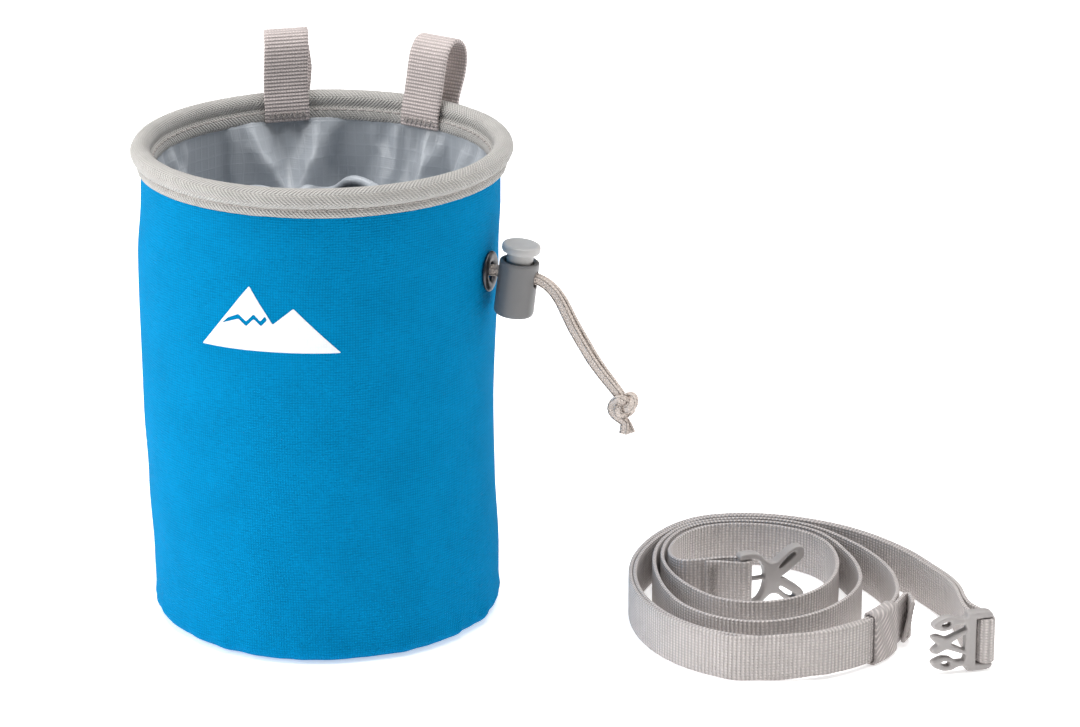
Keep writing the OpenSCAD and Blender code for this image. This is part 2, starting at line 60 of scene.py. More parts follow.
def node_box(name):
    """The lowest and highest corner of a CAD node, in millimetres."""
    low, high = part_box(name)
    return low / MM, high / MM


def hex_colour(text):
    """The linear colour of an sRGB hex value."""
    parts = [int(text[i:i + 2], 16) / 255 for i in (1, 3, 5)]
    return [c / 12.92 if c <= 0.04045 else ((c + 0.055) / 1.055) ** 2.4 for c in parts]


# ---------------------------------------------------------------- places taken from the frame

SHELL_HIGH = node_box("outer_shell")[1]
RIM_LOW, RIM_HIGH = node_box("rim_binding")
EYELET_LOW, EYELET_HIGH = node_box("eyelet")
HOOP_LOW, HOOP_HIGH = node_box("rim_hoop")

SHELL_R = SHELL_HIGH.x
SHELL_TOP = SHELL_HIGH.z
RIM_TUBE_R = (RIM_HIGH.z - (HOOP_LOW.z + HOOP_HIGH.z) / 2)
RIM_H = RIM_HIGH.z - RIM_TUBE_R
RIM_R = RIM_HIGH.x - RIM_TUBE_R
# The direction from the bag's axis in which the drawcord comes out.
CORD_AZ = math.radians(-18)
EYELET_H = (EYELET_LOW.z + EYELET_HIGH.z) / 2
UP = Vector((0, 0, 1))

# The belt loops' leaves: flat inside the binding's inner face, and on its outer selvage.
WEB_W = 15.0
BINDING_IN_R = 53.5
SELVAGE_T = 1.1
LOOP_INNER = math.sqrt(BINDING_IN_R ** 2 - (WEB_W / 2) ** 2) - 0.7
LOOP_OUTER = SHELL_R + SELVAGE_T + 0.75
LOOP_AZ = {"left": math.radians(105.5), "right": math.radians(55)}

# The cord lock leans out from the bag, with its own frame on the cord's hole.
LOCK_LEAN = math.radians(7)
LOCK_BARREL_R = 6.4
LOCK_DOWN = 12.9
LOCK_GAP = 0.2
LOCK_U = (SHELL_R + LOCK_GAP + LOCK_BARREL_R * math.cos(LOCK_LEAN)
          + LOCK_DOWN * math.sin(LOCK_LEAN))
LOCK_Z = EYELET_H - 0.6

# The belt's buckles turn on these bars, and its keeper sits on a true arc.
BAR_F = Vector((136, -10.2))
BAR_M = Vector((210.5, -59.5))
FEMALE_AZ = math.radians(22)
MALE_AZ = math.radians(195)
BUCKLE_LOW, BUCKLE_HIGH = node_box("buckle_male")
BUCKLE_MID = BUCKLE_LOW.z / 2 + BUCKLE_HIGH.z / 2
ARC_C = Vector((143, -27))
ARC_R = 42.0
# The webbing's middle line turns round a bar at this radius.
WRAP_R = 2.25

# Both strands' route in the plane through the bag's axis: distance out, height.
CORD_ROUTE = [
    (54.6, 119.4), (58, 119.4), (62, 119.2), (66, 118.9), (70.4, 118.3), (74.3, 117.1),
    (77.6, 114.7), (80.1, 111.4), (82.1, 107.7), (84, 104), (86.2, 100.3), (88.6, 96.4),
    (91, 92.7), (94, 88.8), (97.2, 85), (100, 81.6),
]
KNOT_AT = (101.4, 79)

# The strap's middle line from the female buckle outward, winding clockwise from above.
INNER_TURNS = [
    (136, -7.95), (132, -7.1), (127.5, -7.8), (121.5, -9.5), (116.5, -8.4), (113.5, -4),
    (112.4, 2), (112.7, 9), (114.8, 16), (118.6, 22.4), (124, 27.4), (130.8, 30.1),
    (138.5, 30.5), (146.5, 29.2), (154, 25.8), (160.5, 20.4), (165, 12.5), (167, 3),
    (167, -7), (164.8, -17.8), (160, -27.4), (152.6, -34.8), (143.5, -39), (134, -39.2),
    (125.5, -35), (118.5, -26.5), (113, -15.5), (110.2, -4), (110.1, 6), (112.2, 15.8),
    (116.4, 24.4), (122.6, 30.2), (130.3, 33), (139, 33.5), (147.8, 32.2), (155.8, 28.8),
    (162.4, 23.2), (167.2, 15), (170.2, 6.5), (172.6, -2), (173.8, -11), (173.6, -20),
    (171, -29.5), (166.4, -38.5), (159.4, -47), (150, -53.2), (140, -56), (130, -54.2),
    (121.3, -48.6), (114.3, -39.6), (109.8, -27), (107.5, -13), (107.1, -1), (108.5, 10),
    (112, 20), (117.6, 28.6), (125.6, 33.8), (135.3, 36), (145.8, 35.5), (155.4, 32.2),
    (163.8, 26), (171, 17), (177, 7.5), (181.8, -3.5), (184.4, -15),
]
# From the keeper's arc once more round to the bar of the male buckle.
OUTER_TURN = [
    (134, -67.7), (125, -63.9), (116.5, -57.4), (109.3, -48.2), (104.1, -37), (101.2, -25),
    (100.5, -12.5), (102, 0), (105.4, 11), (110.2, 21), (116.6, 29.8), (124.2, 35.7),
    (133, 38.2), (142, 38.4), (151, 36.6), (160, 33.2), (168.6, 28.4), (177, 21.6),
    (184.6, 13), (191.4, 3.2), (197, -8), (201, -19.4), (203.3, -30.4), (203.8, -41),
    (204.6, -48.6), (206.4, -54.6), (208.25, -59.5),
]
# The free end leaves that bar again and comes back over the outer turn.
TAIL_TURN = [(212.75, -59.5), (211.7, -55.4), (208.8, -51.2), (206.4, -46.8)]
# Where the free end's folded tip starts on the keeper's arc, and its two directions there.
TIP_AZ = math.radians(-24)
TIP_OUT = Vector((math.cos(TIP_AZ), math.sin(TIP_AZ)))
TIP_ON = Vector((-math.sin(TIP_AZ), math.cos(TIP_AZ)))
TIP_LEN = 11.0
# From the middle of one layer of webbing to the middle of the next.
LAYER = 1.45
# The folded tip: distance on past the keeper's arc, distance out. Its second leaf stands off.
TIP_FOLD = [(4, 0), (TIP_LEN - 1.2, 0), (TIP_LEN - 0.2, 0.5), (TIP_LEN - 0.2, 1.2),
            (TIP_LEN - 1.2, 1.9), (7.2, 2.7), (4, 3.4)]
# How many of its last stretches lean out at their top, and by how much.
LEAF_STEPS = 2
LEAF_LEAN = math.radians(13)


# ---------------------------------------------------------------- what a user can change

class ChalkBagSizes(PropertyGroup):
    """Sizes of the looks, in metres; the frame's own sizes stay as they are."""
    binding_wobble: FloatProperty(
        name="Binding wobble", description="How uneven the hand-sewn rim is",
        default=0.0003, min=0, max=0.001, unit="LENGTH")
    shell_dents: FloatProperty(
        name="Shell dents", description="Depth of the soft dents in the shell's cloth",
        default=0.0006, min=0, max=0.002, unit="LENGTH")
    collar_height: FloatProperty(
        name="Collar height", description="Height of the collar's cloth before it was gathered",
        default=0.048, min=0.03, max=0.07, unit="LENGTH")
    webbing_thickness: FloatProperty(
        name="Webbing thickness", description="Thickness of the belt and loop webbing",
        default=0.0013, min=0.0008, max=0.0014, unit="LENGTH")
    cord_width: FloatProperty(
        name="Cord width", description="Width of the flat braided drawcord",
        default=0.0034, min=0.002, max=0.004, unit="LENGTH")
    collar_steps: IntProperty(
        name="Collar steps", description="Cloth steps for the collar's folds",
        default=34, min=5, max=80)


class ChalkBagColours(PropertyGroup):
    """Colours of the cloths, webbings and mouldings."""
    shell: FloatVectorProperty(
        name="Shell", description="Blue polyester of the outside", subtype="COLOR",
        default=hex_colour("#007fb4"))
    binding: FloatVectorProperty(
        name="Binding", description="Herringbone tape of the rim", subtype="COLOR",
        default=hex_colour("#b4b1ad"))
    collar: FloatVectorProperty(
        name="Collar", description="Ripstop nylon of the collar", subtype="COLOR",
        default=hex_colour("#adb3ba"))
    belt: FloatVectorProperty(
        name="Belt", description="Webbing of the belt", subtype="COLOR",
        default=hex_colour("#c8c0bd"))
    loops: FloatVectorProperty(
        name="Loops", description="Webbing of the belt loops", subtype="COLOR",
        default=hex_colour("#cbbfbc"))
    buckle: FloatVectorProperty(
        name="Buckle", description="Moulding of both buckle halves", subtype="COLOR",
        default=hex_colour("#aba6a4"))
    lock: FloatVectorProperty(
        name="Lock", description="Barrel of the cord lock", subtype="COLOR",
        default=hex_colour("#777676"))


def sizes():
    return bpy.context.scene.chalk_bag_sizes


def colours():
    return bpy.context.scene.chalk_bag_colours


# ---------------------------------------------------------------- curves and meshes

def smooth_route(points, steps):
    """A Catmull-Rom curve through the points."""
    p = [Vector(q) for q in points]
    out = []
    for i in range(len(p) - 1):
        a, b, c, d = p[max(i - 1, 0)], p[i], p[i + 1], p[min(i + 2, len(p) - 1)]
        for s in range(steps):
            t = s / steps
            out.append(0.5 * (2 * b + (c - a) * t + (2 * a - 5 * b + 4 * c - d) * t * t
                              + (3 * b - a - 3 * c + d) * t ** 3))
    out.append(p[-1].copy())
    return out


def heading(path, i):
    """The way the path runs at its point i."""
    return (path[min(i + 1, len(path) - 1)] - path[max(i - 1, 0)]).normalized()


def left_of(path, i, distance):
    """A point beside the flat path's point i."""
    d = heading(path, i)
    return path[i] + distance * Vector((-d.y, d.x))


def lengths(path):
    """The distance along the path of each of its points."""
    total = [0.0]
    for a, b in zip(path, path[1:]):
        total.append(total[-1] + (b - a).length)
    return total


def around(az, out, side=0.0, height=0.0):
    """A point at a distance out from the bag's axis in the direction az."""
    return Vector((out * math.cos(az) - side * math.sin(az),
                   out * math.sin(az) + side * math.cos(az), height))


def linked(name, data):
    """A new object in the scene for a mesh, curve, camera or light."""
    piece = bpy.data.objects.new(name, data)
    bpy.context.scene.collection.objects.link(piece)
    return piece


def set_smooth(mesh, smooth=True):
    mesh.polygons.foreach_set("use_smooth", [smooth] * len(mesh.polygons))


def evaluated_mesh(piece):
    """A copy of the piece's mesh as its modifiers or its curve make it."""
    bpy.context.view_layer.update()
    graph = bpy.context.evaluated_depsgraph_get()
    return bpy.data.meshes.new_from_object(piece.evaluated_get(graph), depsgraph=graph)


def make_object(name, points, faces, uvs=None, smooth=True):
    """A mesh object from millimetre points, with a cloth map in millimetres."""
    mesh = bpy.data.meshes.new(name)
    mesh.from_pydata([tuple(c * MM for c in p) for p in points], [], faces)
    if uvs:
        layer = mesh.uv_layers.new(name="cloth")
        for loop, uv in zip(layer.data, [uv for face in uvs for uv in face]):
            loop.uv = uv
    set_smooth(mesh, smooth)
    mesh.update()
    return linked(name, mesh)


def grid_object(name, rows, u_at, v_at, close_u=False, close_v=False, caps=False):
    """A surface through a grid of points; u runs along each row and v from row to row."""
    n_v, n_u = len(rows), len(rows[0])
    points = [p for row in rows for p in row]
    faces, uvs = [], []
    for j in range(n_v if close_v else n_v - 1):
        for i in range(n_u if close_u else n_u - 1):
            i2, j2 = (i + 1) % n_u, (j + 1) % n_v
            faces.append((j * n_u + i, j * n_u + i2, j2 * n_u + i2, j2 * n_u + i))
            uvs.append(((u_at[i], v_at[j]), (u_at[i + 1], v_at[j]),
                        (u_at[i + 1], v_at[j + 1]), (u_at[i], v_at[j + 1])))
    if caps:
        first = tuple(range(n_u - 1, -1, -1))
        last = tuple((n_v - 1) * n_u + i for i in range(n_u))
        faces += [first, last]
        uvs += [tuple((0, 0) for _ in first)] * 2
    return make_object(name, points, faces, uvs)


def tube(name, path, half_a, half_b, normal, sides=12, closed=False):
    """An oval tube swept along a path; half_b lies along normal."""
    rows = []
    n = len(path)
    for i in range(n):
        d = (path[(i + 1) % n] - path[i - 1]).normalized() if closed else heading(path, i)
        a = normal.cross(d).normalized()
        b = d.cross(a)
        rows.append([path[i] + half_a * math.cos(math.tau * k / sides) * a
                     + half_b * math.sin(math.tau * k / sides) * b for k in range(sides)])
    around_u = [k * 2 * (half_a + half_b) * 0.8 / sides for k in range(sides + 1)]
    along = lengths(path)
    along.append(along[-1] + (path[0] - path[-1]).length)
    return grid_object(name, rows, around_u, along, close_u=True, close_v=closed,
                       caps=not closed)


def strap(name, path, across, width, thickness, edge=0.45):
    """Flat webbing with rounded selvedges, swept along its middle line."""
    w, t = width / 2, thickness / 2
    side = [(-w, 0), (-w + edge * 0.35, t * 0.75), (-w + edge, t)]
    side += [(w * k / 3, t) for k in (-2, -1, 0, 1, 2)]
    side += [(w - edge, t), (w - edge * 0.35, t * 0.75), (w, 0)]
    section = side + [(a, -b) for a, b in reversed(side[1:-1])]
    rows = []
    for i in range(len(path)):
        wide = across(i) if callable(across) else across
        flat = heading(path, i).cross(wide).normalized()
        rows.append([path[i] + a * wide + b * flat for a, b in section])
    u_at = [a for a, _ in section] + [section[0][0]]
    return grid_object(name, rows, u_at, lengths(path), close_u=True, caps=True)


def lathe(name, profile, columns, place, closed=True, radius=SHELL_R):
    """A turned surface; place(angle, r, z, j) gives each point, so it may be uneven."""
    rows = []
    for j, (r, z) in enumerate(profile):
        rows.append([place(math.tau * i / columns, r, z, j) for i in range(columns)])
    u_at = [math.tau * radius * i / columns for i in range(columns + 1)]
    flat = [Vector(p) for p in profile]
    v_at = lengths(flat)
    v_at.append(v_at[-1] + (flat[0] - flat[-1]).length)
    return grid_object(name, rows, u_at, v_at, close_u=True, close_v=closed)


def plain_turn(angle, r, z):
    """A point at a radius and a height, turned about the upright axis."""
    return Vector((r * math.cos(angle), r * math.sin(angle), z))


def recalculated(piece):
    """Makes the faces look outward."""
    work = bmesh.new()
    work.from_mesh(piece.data)
    bmesh.ops.remove_doubles(work, verts=work.verts, dist=1e-7)
    bmesh.ops.recalc_face_normals(work, faces=work.faces)
    work.to_mesh(piece.data)
    work.free()
    return piece


def applied(piece):
    """Bakes the modifiers into the mesh."""
    mesh = evaluated_mesh(piece)
    old = piece.data
    name = old.name
    piece.modifiers.clear()
    piece.data = mesh
    if isinstance(old, bpy.types.Mesh):
        bpy.data.meshes.remove(old)
    mesh.name = name
    return piece


def joined(name, pieces):
    """One object out of several meshes."""
    work = bmesh.new()
    for piece in pieces:
        part = piece.data.copy()
        part.transform(piece.matrix_world)
        work.from_mesh(part)
        bpy.data.meshes.remove(part)
    mesh = bpy.data.meshes.new(name)
    work.to_mesh(mesh)
    work.free()
    for piece in pieces:
        bpy.data.objects.remove(piece)
    return linked(name, mesh)


def moulded(piece, voxel, rounds, keep=0.5):
    """Melts overlapping solids into one moulding with rounded edges."""
    remesh = piece.modifiers.new("remesh", "REMESH")
    remesh.mode = "VOXEL"
    remesh.voxel_size = voxel * MM
    soften = piece.modifiers.new("soften", "SMOOTH")
    soften.factor = 0.5
    soften.iterations = rounds
    thin = piece.modifiers.new("thin", "DECIMATE")
    thin.ratio = keep
    applied(piece)
    set_smooth(piece.data)
    return piece


def cut(piece, cutter):
    """Takes the cutter out of the piece."""
    hole = piece.modifiers.new("cut", "BOOLEAN")
    hole.operation = "DIFFERENCE"
    hole.solver = "EXACT"
    hole.object = cutter
    applied(piece)
    bpy.data.objects.remove(cutter)
    return piece


def rounded(points, radius, steps=4):
    """The outline with its corners rounded."""
    out = []
    n = len(points)
    for i in range(n):
        a, b, c = Vector(points[i - 1]), Vector(points[i]), Vector(points[(i + 1) % n])
        r1 = min(radius, (a - b).length * 0.45)
        r2 = min(radius, (c - b).length * 0.45)
        start, end = b + (a - b).normalized() * r1, b + (c - b).normalized() * r2
        for s in range(steps + 1):
            t = s / steps
            out.append((1 - t) ** 2 * start + 2 * t * (1 - t) * b + t * t * end)
    return out


def plate(name, outlines, depth, bevel, radius):
    """A flat moulding with rounded edges, drawn as an outline with holes."""
    curve = bpy.data.curves.new(name, "CURVE")
    curve.dimensions = "2D"
    curve.fill_mode = "BOTH"
    curve.extrude = (depth / 2 - bevel) * MM
    curve.bevel_depth = bevel * MM
    curve.bevel_resolution = 2
    curve.offset = -bevel * MM
    for outline in outlines:
        line = rounded(outline, radius)
        spline = curve.splines.new("POLY")
        spline.points.add(len(line) - 1)
        for point, p in zip(spline.points, line):
            point.co = (p.x * MM, p.y * MM, 0, 1)
        spline.use_cyclic_u = True
    drawn = linked(name, curve)
    mesh = evaluated_mesh(drawn)
    bpy.data.objects.remove(drawn)
    bpy.data.curves.remove(curve)
    mesh.transform(Matrix.Rotation(math.pi / 2, 4, "X"))
    return recalculated(linked(name, mesh))


def plain_solid(name, rows):
    """A closed solid through rings of points; it has no cloth, so its map stays at zero."""
    return grid_object(name, rows, [0] * (len(rows[0]) + 1), [0] * len(rows), close_u=True,
                       caps=True)


def round_bar(name, radius, low, high, sides=24):
    """A standing bar with capped ends."""
    rows = [[plain_turn(math.tau * k / sides, radius, z) for k in range(sides)]
            for z in (low, high)]
    return plain_solid(name, rows)


def put(piece, matrix):
    """Moves the mesh itself, so that the object stays at the origin."""
    piece.data.transform(matrix)
    piece.data.update()
    return piece


def mm_place(x, y, z):
    return Matrix.Translation(Vector((x, y, z)) * MM)


def coat(piece, material):
    """Gives the piece this material alone."""
    piece.data.materials.clear()
    piece.data.materials.append(material)


def finish_piece(piece, body, slot, material, *nodes):
    """Rides the piece on its body, gives it its material and hides the CAD nodes that it stands
    for.
    """
    coat(piece, material)
    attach(piece, body)
    if nodes:
        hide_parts(*nodes)
    return piece


# ---------------------------------------------------------------- finishes

def add_node(tree, kind, inputs=None, **settings):
    """Adds a shader node, with its settings and with values or links for its inputs."""
    node = tree.nodes.new(kind)
    for key, value in settings.items():
        setattr(node, key, value)
    for key, value in (inputs or {}).items():
        if isinstance(value, bpy.types.NodeSocket):
            tree.links.new(value, node.inputs[key])
        else:
            node.inputs[key].default_value = value
    return node


def start_material(name, **shader_values):
    """A new material; the values that are the same all over sit on the shader itself."""
    material = bpy.data.materials.new(name)
    material.use_nodes = True
    shader = material.node_tree.nodes["Principled BSDF"]
    for key, value in shader_values.items():
        shader.inputs[key.replace("_", " ").title().replace("Ior", "IOR")].default_value = value
    return material, material.node_tree, shader


def shade(colour, factor):
    return [min(1.0, c * factor) for c in colour[:3]] + [1.0]


def bands(period):
    """The Wave texture's scale for lines this far apart."""
    return math.tau / 20 / period


def dress(tree, shader, colour, tone, height, depth, dark=0.8, light=1.15):
    """Two tones of the colour by tone, and a bump of this depth in millimetres by height."""
    mixed = add_node(tree, "ShaderNodeMix", {"Factor": tone}, data_type="RGBA")
    for socket in mixed.inputs:
        if socket.type == "RGBA":
            socket.default_value = shade(colour, dark if socket.name == "A" else light)
    tree.links.new([o for o in mixed.outputs if o.type == "RGBA"][0], shader.inputs["Base Color"])
    bump = add_node(tree, "ShaderNodeBump", {"Height": height, "Strength": 1.0,
                                             "Distance": depth * MM})
    tree.links.new(bump.outputs["Normal"], shader.inputs["Normal"])


def cloth_map(tree):
    """The cloth map, in millimetres across and along the cloth."""
    return add_node(tree, "ShaderNodeUVMap", uv_map="cloth").outputs["UV"]


def solid_map(tree):
    """The piece's own coordinates, in metres."""
    return add_node(tree, "ShaderNodeTexCoord").outputs["Object"]


def turned_map(tree, vector, degrees):
    turned = add_node(tree, "ShaderNodeMapping", {"Vector": vector,
                                                  "Rotation": (0, 0, math.radians(degrees))})
    return turned.outputs["Vector"]


def lines(tree, vector, period, direction="X", wander=0.0, scale=1.0):
    """Soft parallel threads, from 0 between them to 1 on them."""
    wave = add_node(tree, "ShaderNodeTexWave",
                    {"Vector": vector, "Scale": bands(period), "Distortion": wander,
                     "Detail": 1.0, "Detail Scale": scale}, bands_direction=direction)
    return wave.outputs["Fac"]


def combined(tree, kind, a, b):
    return add_node(tree, "ShaderNodeMath", {0: a, 1: b}, operation=kind).outputs["Value"]


def cloud(tree, vector, size, detail=2.0):
    """Soft patches of this size, in the units of the map."""
    return add_node(tree, "ShaderNodeTexNoise", {"Vector": vector, "Scale": 1 / size,
                                                 "Detail": detail}).outputs["Fac"]


FINISHES = {}


def finish(function):
    """Makes each finish once."""
    def made():
        if function.__name__ not in FINISHES:
            FINISHES[function.__name__] = function()
        return FINISHES[function.__name__]
    return made


@finish
def woven_polyester():
    """Slubby plain weave, drawn at twice its thread spacing so that it shows: a dry, matte
    cloth whose blue breaks up into fine darker dashes."""
    material, tree, shader = start_material("woven_polyester", roughness=0.85,
                                            specular_ior_level=0.03)
    at = cloth_map(tree)
    warp = lines(tree, at, 0.85, "X", 0.6)
    weft = lines(tree, at, 0.85, "Y", 0.6)
    weave = combined(tree, "MULTIPLY", warp, weft)
    drawn_out = add_node(tree, "ShaderNodeMapping", {"Vector": at, "Rotation": (0, 0, 0.6),
                                                     "Scale": (0.45, 2.2, 1)})
    slub = cloud(tree, drawn_out.outputs["Vector"], 1.1)
    height = combined(tree, "ADD", weave, slub)
    patches = cloud(tree, at, 14)
    tone = combined(tree, "MULTIPLY", height, combined(tree, "ADD", patches, 0.45))
    dress(tree, shader, colours().shell, tone, height, 0.16, 0.72, 1.2)
    return material


@finish
def herringbone_tape():
    """Woven herringbone binding: columns of slanted ribs that meet in chevrons."""
    material, tree, shader = start_material("herringbone_tape", roughness=0.7,
                                            sheen_weight=0.15)
    at = cloth_map(tree)
    split = add_node(tree, "ShaderNodeSeparateXYZ", {"Vector": at})
    zigzag = add_node(tree, "ShaderNodeMath", {0: split.outputs["Y"], 1: 3.4},
                      operation="PINGPONG").outputs["Value"]
    slant = combined(tree, "ADD", split.outputs["X"], zigzag)
    slanted = add_node(tree, "ShaderNodeCombineXYZ", {"X": slant, "Y": split.outputs["Y"]})
    twill = lines(tree, slanted.outputs["Vector"], 1.25, "X", 0.25)
    picks = lines(tree, at, 0.62, "Y")
    height = combined(tree, "ADD", twill, combined(tree, "MULTIPLY", picks, 0.35))
    tone = combined(tree, "MULTIPLY", height, combined(tree, "ADD", cloud(tree, at, 9), 0.35))
    dress(tree, shader, colours().binding, tone, height, 0.26, 0.72, 1.2)
    return material


def webbing(name, colour, rib, pick, depth):
    """Plain webbing: ribs across the strap, broken into dots by the long threads."""
    material, tree, shader = start_material(name, roughness=0.66, sheen_weight=0.12)
    at = cloth_map(tree)
    ribs = lines(tree, at, rib, "Y", 0.35)
    picks = lines(tree, at, pick, "X", 0.2)
    dots = combined(tree, "MULTIPLY", ribs, combined(tree, "ADD", picks, 0.7))
    tone = combined(tree, "MULTIPLY", dots, combined(tree, "ADD", cloud(tree, at, 7), 0.2))
    dress(tree, shader, colour, tone, dots, depth, 0.72, 1.22)
    return material


@finish
def ribbed_webbing():
    """The belt's fine ribs, 1.35 mm apart, give it a dotted, silky face."""
    return webbing("ribbed_webbing", colours().belt, 1.35, 0.95, 0.3)


@finish
def coarse_webbing():
    """The loops' thicker threads read as a coarse basket weave."""
    return webbing("coarse_webbing", colours().loops, 1.15, 0.98, 0.2)


@finish
def ripstop_nylon():
    """Thin calendered nylon with a faint square grid of thicker threads: it shines in the
    folds and goes dark between them."""
    material, tree, shader = start_material("ripstop_nylon", roughness=0.36, ior=1.53,
                                            sheen_weight=0.2, coat_weight=0.15,
                                            coat_roughness=0.4)
    at = cloth_map(tree)
    grid = combined(tree, "MAXIMUM",
                    combined(tree, "POWER", lines(tree, at, 2.9, "X"), 14.0),
                    combined(tree, "POWER", lines(tree, at, 2.9, "Y"), 14.0))
    threads = combined(tree, "ADD", lines(tree, at, 0.55, "X"), lines(tree, at, 0.55, "Y"))
    height = combined(tree, "ADD", combined(tree, "MULTIPLY", threads, 0.25), grid)
    tone = combined(tree, "ADD", combined(tree, "MULTIPLY", height, 0.16),
                    combined(tree, "MULTIPLY", cloud(tree, at, 12), 0.5))
    dress(tree, shader, colours().collar, tone, height, 0.05, 0.78, 1.16)
    return material


@finish
def brushed_fleece():
    """Napped polyester: soft, without gloss, with tufts of light."""
    material, tree, shader = start_material("brushed_fleece", roughness=0.95, sheen_weight=0.6)
    at = solid_map(tree)
    nap = cloud(tree, at, 0.9 * MM, 4.0)
    dress(tree, shader, hex_colour("#8a8f96"), cloud(tree, at, 3 * MM), nap, 0.5, 0.75, 1.2)
    return material


@finish
def braided_cord():
    """Flat polyester braid: two sets of strands that cross at a slant."""
    material, tree, shader = start_material("braided_cord", roughness=0.6, sheen_weight=0.1)
    at = cloth_map(tree)
    left = lines(tree, turned_map(tree, at, 38), 0.85, "Y")
    right = lines(tree, turned_map(tree, at, -38), 0.85, "Y")
    braid = combined(tree, "MULTIPLY", left, right)
    tone = combined(tree, "ADD", combined(tree, "MULTIPLY", braid, 0.7),
                    combined(tree, "MULTIPLY", cloud(tree, at, 3), 0.4))
    dress(tree, shader, hex_colour("#e4d6cc"), tone, braid, 0.24, 0.66, 1.15)
    return material


def moulded_acetal(name, colour):
    """Injection-moulded acetal: satin, with a fine spark-eroded grain and edges that use
    has polished a little lighter."""
    material, tree, shader = start_material(name, roughness=0.38, ior=1.48, coat_weight=0.08,
                                            coat_roughness=0.25)
    at = solid_map(tree)
    grain = cloud(tree, at, 0.35 * MM, 3.0)
    worn = add_node(tree, "ShaderNodeMapRange",
                    {"Value": add_node(tree, "ShaderNodeNewGeometry").outputs["Pointiness"],
                     "From Min": 0.47, "From Max": 0.56})
    tone = combined(tree, "ADD", combined(tree, "MULTIPLY", worn.outputs["Result"], 0.5),
                    combined(tree, "MULTIPLY", cloud(tree, at, 4 * MM), 0.4))
    dress(tree, shader, colour, tone, grain, 0.03, 0.9, 1.12)
    rough = add_node(tree, "ShaderNodeMapRange",
                     {"Value": cloud(tree, at, 1.5 * MM, 4.0), "To Min": 0.3, "To Max": 0.5})
    tree.links.new(rough.outputs["Result"], shader.inputs["Roughness"])
    return material


@finish
def buckle_acetal():
    """The buckle's warm light grey moulding."""
    return moulded_acetal("buckle_acetal", colours().buckle)


@finish
def lock_acetal():
    """The cord lock's mid grey barrel."""
    return moulded_acetal("lock_acetal", colours().lock)


@finish
def button_acetal_painted_top_light():
    """The button's moulding, the same grey as the barrel; its lighter grey here is painted light
    falling on its top.
    """
    return moulded_acetal("button_acetal_painted_top_light", hex_colour("#bab8b6"))


@finish
def blackened_brass():
    """Pressed and blackened brass eyelet, rubbed brighter where the cord runs."""
    material, tree, shader = start_material("blackened_brass", metallic=0.85, roughness=0.38)
    at = solid_map(tree)
    rubbed = cloud(tree, at, 1.2 * MM, 4.0)
    dress(tree, shader, hex_colour("#5b5a5c"), rubbed, rubbed, 0.02, 0.55, 1.3)
    return material


@finish
def drawn_spring_steel():
    """Hard-drawn wire with fine lines along it: bright and streaky."""
    material, tree, shader = start_material("drawn_spring_steel", metallic=1.0, roughness=0.3)
    at = solid_map(tree)
    drawn = cloud(tree, at, 0.4 * MM, 3.0)
    dress(tree, shader, hex_colour("#b9b9b9"), drawn, drawn, 0.01, 0.8, 1.1)
    return material


@finish
def twisted_thread():
    """Bonded polyester sewing thread: slanted plies that catch the light in turn."""
    material, tree, shader = start_material("twisted_thread", roughness=0.5, sheen_weight=0.1)
    plies = lines(tree, turned_map(tree, cloth_map(tree), 40), 0.5, "Y")
    dress(tree, shader, hex_colour("#b4aca8"), plies, plies, 0.08, 0.7, 1.15)
    return material


@finish
def transfer_print():
    """A heat-pressed white film through which the cloth's weave still shows."""
    material, tree, shader = start_material("transfer_print", roughness=0.5, coat_weight=0.1)
    at = solid_map(tree)
    weave = combined(tree, "MULTIPLY", lines(tree, at, 0.85 * MM, "X"),
                     lines(tree, at, 0.85 * MM, "Z"))
    worn = combined(tree, "ADD", cloud(tree, at, 2 * MM), combined(tree, "MULTIPLY", weave, 0.3))
    dress(tree, shader, hex_colour("#f2f5f7"), worn, weave, 0.05, 0.9, 1.05)
    return material


@finish
def woven_elastic():
    """Knitted elastic: slanted dotted ribs over rubber cores."""
    material, tree, shader = start_material("woven_elastic", roughness=0.75, sheen_weight=0.15)
    at = cloth_map(tree)
    dots = combined(tree, "MULTIPLY", lines(tree, turned_map(tree, at, 35), 1.6, "X"),
                    lines(tree, turned_map(tree, at, -40), 1.45, "Y"))
    tone = combined(tree, "MULTIPLY", dots, combined(tree, "ADD", cloud(tree, at, 5), 0.5))
    dress(tree, shader, hex_colour("#cdc4c1"), tone, dots, 0.35, 0.62, 1.2)
    return material


@finish
def extruded_hoop():
    """Extruded polyethylene rod: waxy, with faint die lines."""
    material, tree, shader = start_material("extruded_hoop", roughness=0.45,
                                            subsurface_weight=0.05)
    at = solid_map(tree)
    die_lines = lines(tree, at, 0.6 * MM, "Z", 0.4)
    dress(tree, shader, hex_colour("#d8d4d0"), die_lines, die_lines, 0.01, 0.92, 1.05)
    return material


@finish
def studio_paper():
    """Matte white paper roll."""
    material, tree, shader = start_material("studio_paper", roughness=0.9,
                                            specular_ior_level=0.1, emission_strength=0.48,
                                            emission_color=(1, 1, 1, 1))
    fibres = cloud(tree, solid_map(tree), 4 * MM)
    dress(tree, shader, hex_colour("#fbfbfb"), fibres, fibres, 0.01, 0.995, 1.0)
    return material


# ---------------------------------------------------------------- shapes of the bag

# How the standing bag is out of true: height, shift of the section's centre, radius.
SHELL_FORM = [(0, -0.5, 56.2), (18, -0.7, 56.4), (44, -1.8, 56.6), (70, -2.4, 57.1),
              (121, -1.7, 57.7), (140, -0.6, 57.6), (160, 0, 57.5)]
CORNER_R = 5.0


